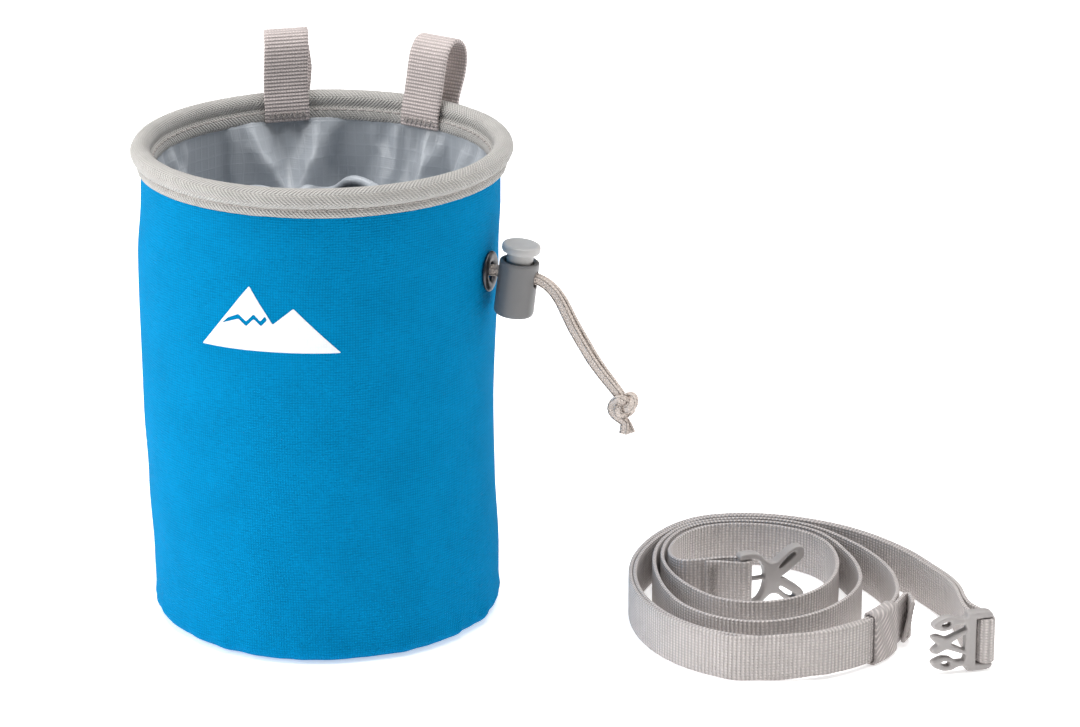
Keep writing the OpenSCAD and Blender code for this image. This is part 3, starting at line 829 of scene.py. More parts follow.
def shell_form(z):
    """Shift and radius of the shell's section at a height."""
    for (z0, s0, r0), (z1, s1, r1) in zip(SHELL_FORM, SHELL_FORM[1:]):
        if z <= z1:
            t = max(0.0, (z - z0) / (z1 - z0))
            t = t * t * (3 - 2 * t)
            return s0 + (s1 - s0) * t, r0 + (r1 - r0) * t
    return SHELL_FORM[-1][1:]


def angle_between(a, b):
    return (a - b + math.pi) % math.tau - math.pi


def shell_point(angle, z, inset=0.0):
    """A point of the shell's outer face, with its soft dents and the pucker of its foot."""
    shift, r = shell_form(z)
    dents = sizes().shell_dents / MM
    r += dents * noise.noise(Vector((2.2 * math.cos(angle), 2.2 * math.sin(angle), z / 45)))
    # The cloth is drawn in a little where the eyelet holds it.
    towards = angle_between(angle, CORD_AZ) * r
    r -= 0.35 * math.exp(-(towards ** 2 + (z - EYELET_H) ** 2) / 160)
    # The turned seam of the foot gathers the last few millimetres.
    foot = math.exp(-((z - 2.5) / 4.0) ** 2)
    pucker = noise.noise(Vector((9 * math.cos(angle), 9 * math.sin(angle), 3.1)))
    r += foot * (0.5 + 1.1 * pucker)
    if z < CORNER_R:
        r -= CORNER_R - math.sqrt(max(0.0, CORNER_R ** 2 - (CORNER_R - z) ** 2))
    r -= inset
    return Vector((shift + r * math.cos(angle), r * math.sin(angle), z))


def remapped(piece, cloth_at):
    """Lays the cloth map anew: cloth_at(uv, point) gives each corner's place on the cloth."""
    layer = piece.data.uv_layers["cloth"]
    for loop in piece.data.loops:
        point = piece.data.vertices[loop.vertex_index].co / MM
        layer.data[loop.index].uv = cloth_at(layer.data[loop.index].uv, point)
    return recalculated(piece)


def wall_piece(name, thickness, inset, low, high, columns, rows):
    """A closed cloth wall that follows the shell's form, with its rows closer at the foot."""
    heights = [low + (high - low) * (k / rows) ** 1.6 for k in range(rows + 1)]
    profile = [(0, z) for z in heights] + [(thickness, z) for z in reversed(heights)]

    def place(angle, extra, z, _row):
        return shell_point(angle, z, inset + extra)
    return remapped(lathe(name, profile, columns, place), lambda uv, point: (uv.x, point.z))


def disc_piece(name, radius, low, thickness, rise, columns=96):
    """A cloth disc with its middle raised a little."""
    rings = [radius * t for t in (0.02, 0.2, 0.4, 0.6, 0.8, 0.93, 1.0)]
    profile = [(r, low + rise * (1 - (r / radius) ** 2)) for r in rings]
    profile += [(r, z + thickness) for r, z in reversed(profile)]

    def place(angle, r, z, _row):
        shift, _ = shell_form(0)
        return Vector((shift + r * math.cos(angle), r * math.sin(angle), z))
    return remapped(lathe(name, profile, columns, place), lambda _uv, point: point.xy)


# ---------------------------------------------------------------- stage and drawcord

class CHALKBAG_OT_stage(Operator):
    """White paper floor, large soft lights and the camera"""
    bl_idname = "chalkbag.stage"
    bl_label = "Stage"

    def execute(self, context):
        scene = context.scene
        far = 6000
        floor = make_object("floor", [(-far, -far, 0), (far, -far, 0), (far, far, 0),
                                      (-far, far, 0)], [(0, 1, 2, 3)], smooth=False)
        floor.location.z = -0.0001
        coat(floor, studio_paper())

        eye = Vector((69.5, -1314.3, 531.2)) * MM
        aim = Vector((69.5, 0, 82)) * MM
        lens = bpy.data.cameras.new("camera")
        lens.sensor_width = 36
        lens.lens = 142.73
        lens.clip_end = 30
        camera = linked("camera", lens)
        self.aimed(camera, eye, aim)
        scene.camera = camera

        # Softboxes: place and size in metres, power in watts.
        middle = Vector((0.05, 0, 0.08))
        for name, place, size, power in (("left_softbox", (-1.4, -0.3, 0.7), 1.5, 27),
                                         ("right_softbox", (1.7, 0.3, 0.8), 2.0, 18),
                                         ("top_softbox", (0.05, 0.1, 1.7), 1.4, 30)):
            lamp = bpy.data.lights.new(name, "AREA")
            lamp.shape = "SQUARE"
            lamp.size = size
            lamp.energy = power
            self.aimed(linked(name, lamp), Vector(place), middle)

        world = bpy.data.worlds.new("studio")
        world.use_nodes = True
        tree = world.node_tree
        direction = add_node(tree, "ShaderNodeSeparateXYZ", {
            "Vector": add_node(tree, "ShaderNodeTexCoord").outputs["Generated"]})
        overhead = add_node(tree, "ShaderNodeMapRange", {
            "Value": direction.outputs["Z"], "From Min": 0.1, "From Max": 0.9,
            "To Min": 0.31, "To Max": 2.1}).outputs["Result"]
        tree.links.new(overhead, tree.nodes["Background"].inputs["Strength"])
        scene.world = world
        scene.view_settings.view_transform = "Standard"
        return {"FINISHED"}

    @staticmethod
    def aimed(thing, place, target):
        """Puts a camera or light at a place and turns it to its target."""
        thing.location = place
        thing.rotation_euler = (target - place).to_track_quat("-Z", "Y").to_euler()


# What each strand of the drawcord leaves for declare_cords: piece, path, pieces on it.
STRANDS = []


def flat_braid(name, path, width, thickness, edge):
    """A flat braided strand that stands square to the plane of its route."""
    sideways = around(CORD_AZ, 0, 1)
    return strap(name, path, lambda i: heading(path, i).cross(sideways).normalized(), width,
                 thickness, edge)


def declare_cords():
    """Measures the length of each strand; nothing more is done with it."""
    for piece, path, carried in STRANDS:
        along = lengths(path)[-1] * MM


class CHALKBAG_OT_drawcord(Operator):
    """The two flat strands of the drawcord and the knot that joins them"""
    bl_idname = "chalkbag.drawcord"
    bl_label = "Drawcord"

    def execute(self, _context):
        width = sizes().cord_width / MM
        # Half the strands' distance, and where along them they part, as a share of the length.
        thickness, apart, parting = 1.36, 0.8, 0.3
        route = smooth_route(CORD_ROUTE, 6)
        along = lengths(route)
        knot_piece = self.knot(width)
        lock_parts = ["cord_lock_barrel_moulding", "cord_lock_button_moulding",
                      "cord_lock_spring"]
        for side, name in ((-1, "drawcord_front"), (1, "drawcord_back")):
            path = []
            for i, p in enumerate(route):
                d = heading(route, i)
                t = along[i] / along[-1]
                # Past the lock the back strand rides a little above the front one.
                lift = 0
                if t > parting:
                    lift = side * 0.42 * max(0.0, math.sin(math.pi * (t - parting) / 0.7))
                out = p.x - d.y * lift
                path.append(around(CORD_AZ, out, side * apart, p.y + d.x * lift))
            piece = recalculated(flat_braid(name + "_braid", path, width, thickness, 0.75))
            finish_piece(piece, "bag", "braided_cord", braided_cord(), name)
            STRANDS.append((piece, path, [knot_piece] + lock_parts if side < 0 else []))
        return {"FINISHED"}

    @staticmethod
    def knot(width):
        """An overhand knot in the doubled cord, with two short cut tails."""
        size = 1.08
        pieces = []
        for side in (-1, 1):
            # In from the strands, once round a trefoil, out to the left and down as a tail.
            path = [around(CORD_AZ, 99.2, side * 0.8, 82.6), around(CORD_AZ, 99.9, side * 0.8, 81)]
            first, last, steps = -math.pi / 3 + 0.55, 5 * math.pi / 3 - 0.45, 56
            for k in range(steps + 1):
                t = first + (last - first) * k / steps
                x = math.sin(t) + 2 * math.sin(2 * t)
                y = math.cos(t) - 2 * math.cos(2 * t)
                depth = -1.75 * math.sin(3 * t)
                path.append(around(CORD_AZ, KNOT_AT[0] + size * x + 0.15 * side,
                                   depth + side * 0.62, KNOT_AT[1] + size * y))
            turn = [(-3.6, 0.2), (-4.3, -1.6), (-3.4, -3.6), (-1.4, -4.9), (0.1, -6.0)]
            spread = [(0.6 + 0.5 * side, -7.6), (0.9 + 1.1 * side, -9.6)]
            for du, dz in turn + spread:
                path.append(around(CORD_AZ, KNOT_AT[0] + du, side * 0.7, KNOT_AT[1] + dz))
            pieces.append(flat_braid("strand", smooth_route(path, 2), width * 0.86, 1.3, 0.6))
        piece = recalculated(joined("cord_knot_braid", pieces))
        return finish_piece(piece, "bag", "braided_cord", braided_cord(), "cord_knot")


# ---------------------------------------------------------------- walls, rim and collar

class CHALKBAG_OT_shell(Operator):
    """The blue outer wall with its base, and the fleece cup inside it"""
    bl_idname = "chalkbag.shell"
    bl_label = "Shell and lining"

    def execute(self, _context):
        cloth_t, fleece_t = 0.8, 1.3
        wall = wall_piece("outer_shell_cloth", cloth_t, 0, 0.0, SHELL_TOP, 240, 64)
        finish_piece(wall, "bag", "shell_fabric", woven_polyester(), "outer_shell")
        base = disc_piece("base_panel_cloth", 51.3, 0.15, cloth_t, 0.8)
        finish_piece(base, "bag", "shell_fabric", woven_polyester(), "base_panel")
        lining = wall_piece("fleece_lining_wall", fleece_t, 0.95, 1.4, SHELL_TOP - 0.5, 160, 30)
        finish_piece(lining, "bag", "fleece", brushed_fleece(), "fleece_liner")
        floor = disc_piece("fleece_lining_base", 51.0, 1.9, fleece_t, 0.4)
        finish_piece(floor, "bag", "fleece", brushed_fleece(), "liner_base")
        return {"FINISHED"}


class CHALKBAG_OT_rim(Operator):
    """The hoop's herringbone binding with its selvages and both rows of stitching"""
    bl_idname = "chalkbag.rim"
    bl_label = "Rim binding"

    def execute(self, _context):
        low = RIM_LOW.z
        wobble = sizes().binding_wobble / MM
        outer = [(57.7, low + 0.1), (58.35, low - 0.1), (58.85, low + 0.2), (58.95, low + 1.2),
                 (58.8, low + 2.1), (58.45, low + 2.55)]
        tube_arc = [(RIM_R + RIM_TUBE_R * math.cos(math.radians(a)),
                     RIM_H + RIM_TUBE_R * math.sin(math.radians(a)))
                    for a in range(-66, 205, 9)]
        inner = [(54.35, RIM_H - 2.0), (53.95, RIM_H - 2.5), (53.55, RIM_H - 3.1),
                 (53.4, low + 1.2), (53.5, low + 0.2), (54.0, low - 0.1), (54.5, low + 0.1),
                 (54.6, low + 2.4), (57.6, low + 2.6)]
        profile = outer + tube_arc + inner

        def place(angle, r, z, row):
            wave = noise.noise(Vector((3 * math.cos(angle), 3 * math.sin(angle), 7.7)))
            edge = noise.noise(Vector((26 * math.cos(angle), 26 * math.sin(angle), row * 0.05)))
            r += wobble * (wave + 0.5 * edge)
            if z < low + 0.4:
                z += 0.5 * wobble * edge + 0.6 * wobble * wave
            return plain_turn(angle, r, z)
        piece = lathe("rim_binding_tape", profile, 300, place)
        finish_piece(recalculated(piece), "bag", "binding_tape", herringbone_tape(),
                     "rim_binding")
        rows = [self.stitches(58.62, low + 2.5, 122), self.stitches(53.82, RIM_H - 2.55, 112)]
        thread = joined("rim_stitching", rows)
        finish_piece(thread, "bag", "thread", twisted_thread())
        coat(bpy.data.objects["rim_hoop"], extruded_hoop())
        return {"FINISHED"}

    @staticmethod
    def stitches(radius, height, count):
        """A row of lockstitches: short beads of thread that dip into the tape."""
        beads = []
        thread_r, deepest = 0.24, 0.22
        for k in range(count):
            start, end = (math.tau * (k + s) / count for s in (0.1, 0.88))
            path = []
            for j in range(5):
                a = start + (end - start) * j / 4
                dip = -deepest * abs(2 * j / 4 - 1) ** 2
                sink = dip if radius > RIM_R else -dip
                path.append(plain_turn(a, radius + sink, height))
            beads.append(tube("bead", path, thread_r, thread_r, UP, 8))
        return joined("stitches", beads)


def fold_ridge(angle, at_degrees, width_degrees):
    """A smooth ridge along the collar's height at this direction."""
    away = math.degrees(angle_between(angle, math.radians(at_degrees)))
    return math.exp(-(away / width_degrees) ** 2)


class CHALKBAG_OT_collar(Operator):
    """The nylon collar, sewn under the binding and gathered by its hem: simulated cloth"""
    bl_idname = "chalkbag.collar"
    bl_label = "Collar"

    # The cloth's grid, and the radius and height at which it is sewn in.
    columns = 200
    rows = 30
    top_r = 54.1
    top_z = 150.4

    def start_point(self, angle, t):
        """Where the cloth starts: a sloping funnel with the folds laid in."""
        # The wall drops first and turns in towards the gathered hem lower down.
        lobes = 0.95 * fold_ridge(angle, 137, 15) + 0.85 * fold_ridge(angle, 72, 34)
        hem_r = 29 + 2.5 * math.cos(2 * angle + 0.3) + 0.6 * math.cos(3 * angle + 2)
        r = self.top_r + (hem_r - self.top_r) * t ** 1.7
        drop = 27 * math.sin(min(1.0, t / 0.7) * math.pi / 2) - 12 * max(0.0, t - 0.7) / 0.3 * (
            0.25 + lobes)
        fall = min(1.0, t / 0.22)
        # Two folds that meet half-way down, a small dent and a sharp pleat at the back.
        left_arm = fold_ridge(angle, 121 - 13 * min(1, t / 0.6), 8.5)
        right_arm = 0.9 * fold_ridge(angle, 90 + 18 * min(1, t / 0.55), 8.0)
        pleat = fold_ridge(angle, 42, 3.2) - 0.8 * fold_ridge(angle, 49, 5)
        dent = fold_ridge(angle, 90, 4) * math.exp(-((t - 0.25) / 0.12) ** 2)
        valley = fold_ridge(angle, 137, 10) + 0.8 * fold_ridge(angle, 80 + 6 * t, 9)
        waves = 0.6 * math.cos(7 * angle + 1 + 1.5 * t) + 0.4 * math.cos(13 * angle + 3 - 2 * t)
        # Small puckers where the cloth is sewn in, gone a little further down.
        puckers = math.cos(34 * angle) + 0.7 * math.cos(47 * angle + 2)
        lift = fall * (17.0 * max(left_arm, right_arm) * (1 - 0.5 * t)
                       - 10.0 * pleat * (1 - 0.4 * t) - 5.0 * dent - 9.0 * valley
                       + 2.2 * waves * t * (1 - 0.8 * t))
        lift += 0.8 * puckers * math.exp(-((t - 0.1) / 0.07) ** 2)
        point = plain_turn(angle, r, self.top_z - drop)
        outward = Vector((math.cos(angle), math.sin(angle), 0))
        return point + Vector((0, 0, 0.55)) * lift * t - 0.7 * lift * outward

    def execute(self, _context):
        rows = []
        for j in range(self.rows + 1):
            t = j / self.rows
            rows.append([self.start_point(math.tau * i / self.columns, t)
                         for i in range(self.columns)])
        around_u = [math.tau * self.top_r * i / self.columns for i in range(self.columns + 1)]
        height = sizes().collar_height / MM
        down_v = [height * j / self.rows for j in range(self.rows + 1)]
        cloth = grid_object("collar_nylon", rows, around_u, down_v, close_u=True)
        self.drape(cloth)
        hem = [cloth.data.vertices[self.rows * self.columns + i].co / MM
               for i in range(self.columns)]
        soft = cloth.modifiers.new("soft", "SUBSURF")
        soft.levels = soft.render_levels = 1
        thick = cloth.modifiers.new("thick", "SOLIDIFY")
        thick.thickness = 0.35 * MM
        thick.offset = 0
        applied(cloth)
        finish_piece(recalculated(cloth), "bag", "ripstop_nylon", ripstop_nylon(), "collar")
        self.hem_pieces(hem)
        return {"FINISHED"}

    def drape(self, cloth):
        """Lets the nylon settle between its sewn top and its gathered hem."""
        pins = cloth.vertex_groups.new(name="sewn")
        for j in (0, 1, self.rows):
            pins.add([j * self.columns + i for i in range(self.columns)], 1.0, "REPLACE")
        before = [v.co.copy() for v in cloth.data.vertices]
        modifier = cloth.modifiers.new("drape", "CLOTH")
        settings = modifier.settings
        settings.quality = 8
        settings.mass = 0.08
        settings.tension_stiffness = 12
        settings.compression_stiffness = 12
        settings.shear_stiffness = 6
        settings.bending_stiffness = 0.35
        settings.shrink_min = -0.07
        settings.vertex_group_mass = pins.name
        modifier.collision_settings.use_collision = False
        modifier.collision_settings.use_self_collision = False
        steps = sizes().collar_steps
        modifier.point_cache.frame_start = 1
        modifier.point_cache.frame_end = steps
        scene = bpy.context.scene
        for frame_number in range(1, steps + 1):
            scene.frame_set(frame_number)
        applied(cloth)
        scene.frame_set(1)
        # No point moves further than this, or out through the lining.
        most, limit = 9 * MM, 54.3 * MM
        for vertex, start in zip(cloth.data.vertices, before):
            moved = vertex.co - start
            if moved.length > most:
                vertex.co = start + moved.normalized() * most
            out = math.hypot(vertex.co.x, vertex.co.y)
            if out > limit:
                vertex.co.x *= limit / out
                vertex.co.y *= limit / out
        cloth.data.update()

    def hem_pieces(self, hem):
        """The casing that follows the hem, and the cord inside it that runs to the eyelet."""
        casing = tube("collar_hem_casing", hem, 2.0, 1.5, UP, 14, closed=True)
        finish_piece(recalculated(casing), "bag", "ripstop_nylon", ripstop_nylon(),
                     "collar_hem")
        nearest = min(range(len(hem)), key=lambda i: abs(
            angle_between(math.atan2(hem[i].y, hem[i].x), CORD_AZ)))
        ring = [hem[(nearest + i) % len(hem)] for i in range(6, len(hem) - 5, 3)]
        ends = []
        for side in (1, -1):
            ends.append([around(CORD_AZ, 54.8, 0.85 * side, EYELET_H + 0.4),
                         around(CORD_AZ, 50, 1.2 * side, EYELET_H + 1.2),
                         around(CORD_AZ, 42, 2.4 * side, EYELET_H + 5)])
        path = smooth_route(ends[0] + ring + ends[1][::-1], 3)
        cord = tube("hem_cord_braid", path, 1.1, 0.7, UP, 10)
        finish_piece(recalculated(cord), "bag", "braided_cord", braided_cord(), "hem_cord")


# ---------------------------------------------------------------- loops, eyelet and sign

def loop_route():
    """A belt loop's middle line: distance from the bag's axis, height."""
    inner, outer = LOOP_INNER, LOOP_OUTER
    return [(inner, RIM_H - 5.6), (inner, RIM_H - 2.6), (inner + 0.6, RIM_H + 0.6),
            (inner + 1.9, RIM_H + 5), (inner + 3.1, RIM_H + 10), (inner + 4, RIM_H + 14.5),
            (inner + 5.3, RIM_H + 18.6), (inner + 7.9, RIM_H + 21.8), (outer + 4.3, RIM_H + 22.4),
            (outer + 7.3, RIM_H + 20), (outer + 8.2, RIM_H + 16.2), (outer + 7.4, RIM_H + 12),
            (outer + 5.7, RIM_H + 7.6), (outer + 4, RIM_H + 3.6), (outer + 3.1, RIM_H),
            (outer + 1.4, RIM_H - 3.2), (outer, RIM_H - 6), (outer, RIM_H - 9)]


def zigzag(name, corners, wire):
    """Dense zigzag stitching between two rows of points."""
    path = smooth_route(corners, 3)
    normal = (corners[1] - corners[0]).cross(corners[2] - corners[0]).normalized()
    return tube(name, path, wire, wire, normal, 7)


class CHALKBAG_OT_loops(Operator):
    """Both belt loops of coarse webbing and the bartacks that hold their feet"""
    bl_idname = "chalkbag.loops"
    bl_label = "Belt loops"

    def execute(self, _context):
        tacks, tack_w = [], 12.4
        for side, az in LOOP_AZ.items():
            # Each loop is sewn a little askew, so its outer leaf shows beside the inner one.
            sway = -5.2 if side == "left" else -1.0
            route = smooth_route(loop_route(), 6)
            along = lengths(route)
            path = [around(az, p.x, sway * math.sin(math.pi * along[i] / along[-1])
                           * min(1.0, 1.4 * along[i] / along[-1]) ** 2, p.y)
                    for i, p in enumerate(route)]
            side_way = around(az, 0, 1)
            piece = strap("belt_loop_" + side + "_webbing", path, side_way, WEB_W,
                          sizes().webbing_thickness / MM)
            finish_piece(recalculated(piece), "bag", "loop_webbing", coarse_webbing(),
                         "belt_loop_" + side)
            for out, z in ((LOOP_INNER - 0.78, RIM_H - 3.6), (LOOP_OUTER + 0.78, RIM_H - 7.6)):
                # Two zigzags over each other make a bartack.
                for row, pitch in ((0, 0.95), (0.5, 1.1)):
                    corners = []
                    for k in range(14):
                        side_at = -tack_w / 2 + tack_w * (k + row * 0.3) / 13.3
                        up = pitch if k % 2 else -pitch
                        corners.append(around(az, out, side_at, z + up + row * 0.5))
                    tacks.append(zigzag("tack", corners, 0.24))
        piece = recalculated(joined("loop_bartack_thread", tacks))
        finish_piece(piece, "bag", "thread", twisted_thread(), "loop_bartacks")
        return {"FINISHED"}


class CHALKBAG_OT_eyelet(Operator):
    """The blackened eyelet and the washer that it is pressed over"""
    bl_idname = "chalkbag.eyelet"
    bl_label = "Eyelet"

    def execute(self, _context):
        face, hole_r, barrel_end = SHELL_R - 1.25, 3.1, 52.6
        dome = [(hole_r + 1.7 * (1 - math.cos(math.radians(a))),
                 face + 0.2 + 0.85 * math.sin(math.radians(a))) for a in range(0, 181, 15)]
        profile = [(hole_r, barrel_end), (hole_r, face)] + dome
        profile += [(6.5, face + 0.05), (6.4, face - 0.2), (3.6, face - 0.2), (3.6, barrel_end)]
        eyelet = self.turned("eyelet_brass", profile)
        finish_piece(eyelet, "bag", "eyelet_metal", blackened_brass(), "eyelet")
        back = [(3.7, 53.4), (3.7, 54.0), (5.2, 54.0), (5.7, 53.7), (5.7, 53.4), (5.2, 53.3)]
        washer = self.turned("eyelet_washer_brass", back)
        finish_piece(washer, "bag", "eyelet_metal", blackened_brass(), "eyelet_washer")
        return {"FINISHED"}

    @staticmethod
    def turned(name, profile):
        """A ring turned about the cord's hole; the profile is (radius, distance out)."""
        def place(angle, r, out, _row):
            return around(CORD_AZ, out, r * math.cos(angle), EYELET_H + r * math.sin(angle))
        return recalculated(lathe(name, profile, 64, place, radius=5))


class CHALKBAG_OT_sign(Operator):
    """The printed sign of a two-peaked mountain, laid on the shell"""
    bl_idname = "chalkbag.sign"
    bl_label = "Sign"

    def execute(self, _context):
        low, facing = node_box("front_print")[0].z, math.radians(-103)
        upper = [(-22, 0), (-6, 21), (1.5, 9), (8, 14.5), (22, 0)]
        snow = [(-13, 10), (-9.5, 11.6), (-7, 9.4), (-4.5, 12), (-2.4, 9.8), (-0.9, 11.6),
                (-0.2, 10.4), (-2.2, 8.2), (-4.5, 10.4), (-7, 7.8), (-9.5, 10), (-15, 8)]
        shape = plate("front_sign_film", [upper, snow], 0.16, 0.03, 0.5)
        work = bmesh.new()
        work.from_mesh(shape.data)
        # Short edges let the film follow the cloth's roundness.
        longest, facing_r = 1.5 * MM, 57.0
        for _ in range(6):
            edges = [e for e in work.edges if e.calc_length() > longest]
            if not edges:
                break
            bmesh.ops.subdivide_edges(work, edges=edges, cuts=1, use_grid_fill=False)
            bmesh.ops.triangulate(work, faces=work.faces)
        for vertex in work.verts:
            side, up, deep = vertex.co.x / MM, vertex.co.z / MM, -vertex.co.y / MM
            angle = facing + math.asin(side / facing_r)
            vertex.co = shell_point(angle, low + up, -0.1 - deep) * MM
        work.to_mesh(shape.data)
        work.free()
        set_smooth(shape.data)
        finish_piece(recalculated(shape), "bag", "print_ink", transfer_print(), "front_print")
        return {"FINISHED"}


# ---------------------------------------------------------------- the cord lock

def lock_frame():
    """The lock's own frame: origin on the cord's hole, +Z towards the button."""
    place = around(CORD_AZ, LOCK_U, 0, LOCK_Z) * MM
    return (Matrix.Translation(place) @ Matrix.Rotation(CORD_AZ, 4, "Z")
            @ Matrix.Rotation(LOCK_LEAN, 4, "Y"))


def slot_cutter(low, high, half_width):
    """A slot with round ends along the lock's X."""
    outline = [(half_width * math.cos(a), high - half_width + half_width * math.sin(a))
               for a in (math.pi * k / 12 for k in range(13))]
    outline += [(half_width * math.cos(a), low + half_width + half_width * math.sin(a))
                for a in (math.pi + math.pi * k / 12 for k in range(13))]
    reach = 20
    return recalculated(plain_solid("slot", [[Vector((x, y, z)) for y, z in outline]
                                             for x in (-reach, reach)]))


def turned_solid(name, profile, sides=96):
    """A closed solid turned about Z; the profile starts and ends on the axis."""
    rows = [[plain_turn(math.tau * k / sides, max(r, 0.001), z) for k in range(sides)]
            for r, z in profile]
    return recalculated(plain_solid(name, rows))


class CHALKBAG_OT_cord_lock(Operator):
    """The cord lock's barrel, its dished button and the spring between them"""
    bl_idname = "chalkbag.cord_lock"
    bl_label = "Cord lock"

    def execute(self, _context):
        # The barrel's outside, its bore and the bore's floor; both slots are for the cord.
        r, low, high, bore, floor = LOCK_BARREL_R, -LOCK_DOWN, 5.2, 4.75, -11.4
        slot_half = 1.9
        barrel = turned_solid("cord_lock_barrel_moulding", [
            (0, low), (r - 1.1, low), (r - 0.35, low + 0.3), (r, low + 1.1), (r, high - 0.6),
            (r - 0.2, high - 0.15), (r - 0.6, high), (bore + 0.35, high), (bore, high - 0.35),
            (bore, floor), (0, floor)])
        cut(barrel, slot_cutter(-2.8, 2.8, slot_half))
        moulded(barrel, 0.24, 6)
        put(barrel, lock_frame())
        finish_piece(barrel, "lock_barrel", "lock_plastic", lock_acetal(), "cord_lock_barrel")

        # The button's disc: its underside's height and its thickness.
        disc, thick = 8.1, 2.7
        dish = [(t * 4.9, disc + thick - 0.05 - 0.8 * (1 - t * t))
                for t in (0, 0.25, 0.5, 0.75, 0.9, 1)]
        button = turned_solid("cord_lock_button_moulding", [
            (0, -6.5), (4.3, -6.5), (4.69, -6.1), (4.69, 3.0), (4.6, 3.2), (4.3, 3.4),
            (4.3, disc - 0.1), (5.4, disc), (6.0, disc + 0.3), (6.2, disc + 1.0),
            (6.15, disc + thick - 0.6), (5.8, disc + thick - 0.1), (5.3, disc + thick)]
            + dish[::-1])
        cut(button, slot_cutter(-slot_half, 5.3, slot_half))
        moulded(button, 0.22, 5)
        put(button, lock_frame())
        # The button's lighter grey is painted top light: it is moulded in the same grey as the
        # barrel.
        finish_piece(button, "lock_button", "button_plastic", button_acetal_painted_top_light(),
                     "cord_lock_button")

        coat(bpy.data.objects["cord_lock_spring"], drawn_spring_steel())
        return {"FINISHED"}


# ---------------------------------------------------------------- the belt

def keeper_points():
    """The strap's points on the keeper's arc."""
    return [ARC_C + ARC_R * Vector((math.cos(a), math.sin(a)))
            for a in (math.radians(-10 * k) for k in range(10))]


def turn_round(bar, degrees, lift):
    """The strap's points where it turns round a buckle's bar."""
    return [(bar.x + WRAP_R * math.cos(a), bar.y + WRAP_R * math.sin(a), lift)
            for a in (math.radians(d) for d in degrees)]


def belt_route():
    """The strap's middle line, from its folded end at the female buckle to its tip.

    Each point has its lift above the floor: the buckles hold it 2.8 mm up and the keeper 1.3.
    """
    buckle_lift, keeper_lift = 2.8, 1.3
    route = [Vector(p) for p in INNER_TURNS] + keeper_points() + [Vector(p) for p in OUTER_TURN]
    count = len(route) - 1
    keeper_from, keeper_to = len(INNER_TURNS) + 1, len(INNER_TURNS) + 6

    def lift(i):
        """The strap comes down within a few points of a buckle or of the keeper."""
        near_female = buckle_lift * max(0.0, min(1.0, (7 - i) / 4))
        near_male = buckle_lift * max(0.0, min(1.0, (i - count + 6) / 3))
        near_keeper = keeper_lift * max(0.0, min(1.0, (i - keeper_from + 3) / 3,
                                                 (keeper_to + 3 - i) / 3))
        return max(near_female, near_male, near_keeper)

    fold = [(123.4, -11.25), (127.5, -11.1), (132, -11.9), (136, -12.45)]
    line = [(x, y, buckle_lift) for x, y in fold]
    line += turn_round(BAR_F, (-60, -30, 0, 30, 60), buckle_lift)
    line += [(p.x, p.y, lift(i)) for i, p in enumerate(route)]
    line += turn_round(BAR_M, (210, 240, 270, 300, 330), buckle_lift)
    line += [(x, y, buckle_lift) for x, y in TAIL_TURN]
    back = range(count - 3, keeper_to + 3, -1)
    line += [(*left_of(route, i, LAYER), max(0.0, lift(i) if i < count - 8 else
                                           buckle_lift * (i - count + 6) / 3)) for i in back]
    tip_r = ARC_R + LAYER
    line += [(*(ARC_C + tip_r * Vector((math.cos(a), math.sin(a)))), keeper_lift)
             for a in (math.radians(d) for d in range(-72, -23, 8))]
    tip = ARC_C + tip_r * TIP_OUT
    # The end is folded back on itself and stitched, so the keeper can't slip off.
    for ahead, out in TIP_FOLD:
        line.append((*(tip + ahead * TIP_ON + out * TIP_OUT), keeper_lift))
    return line


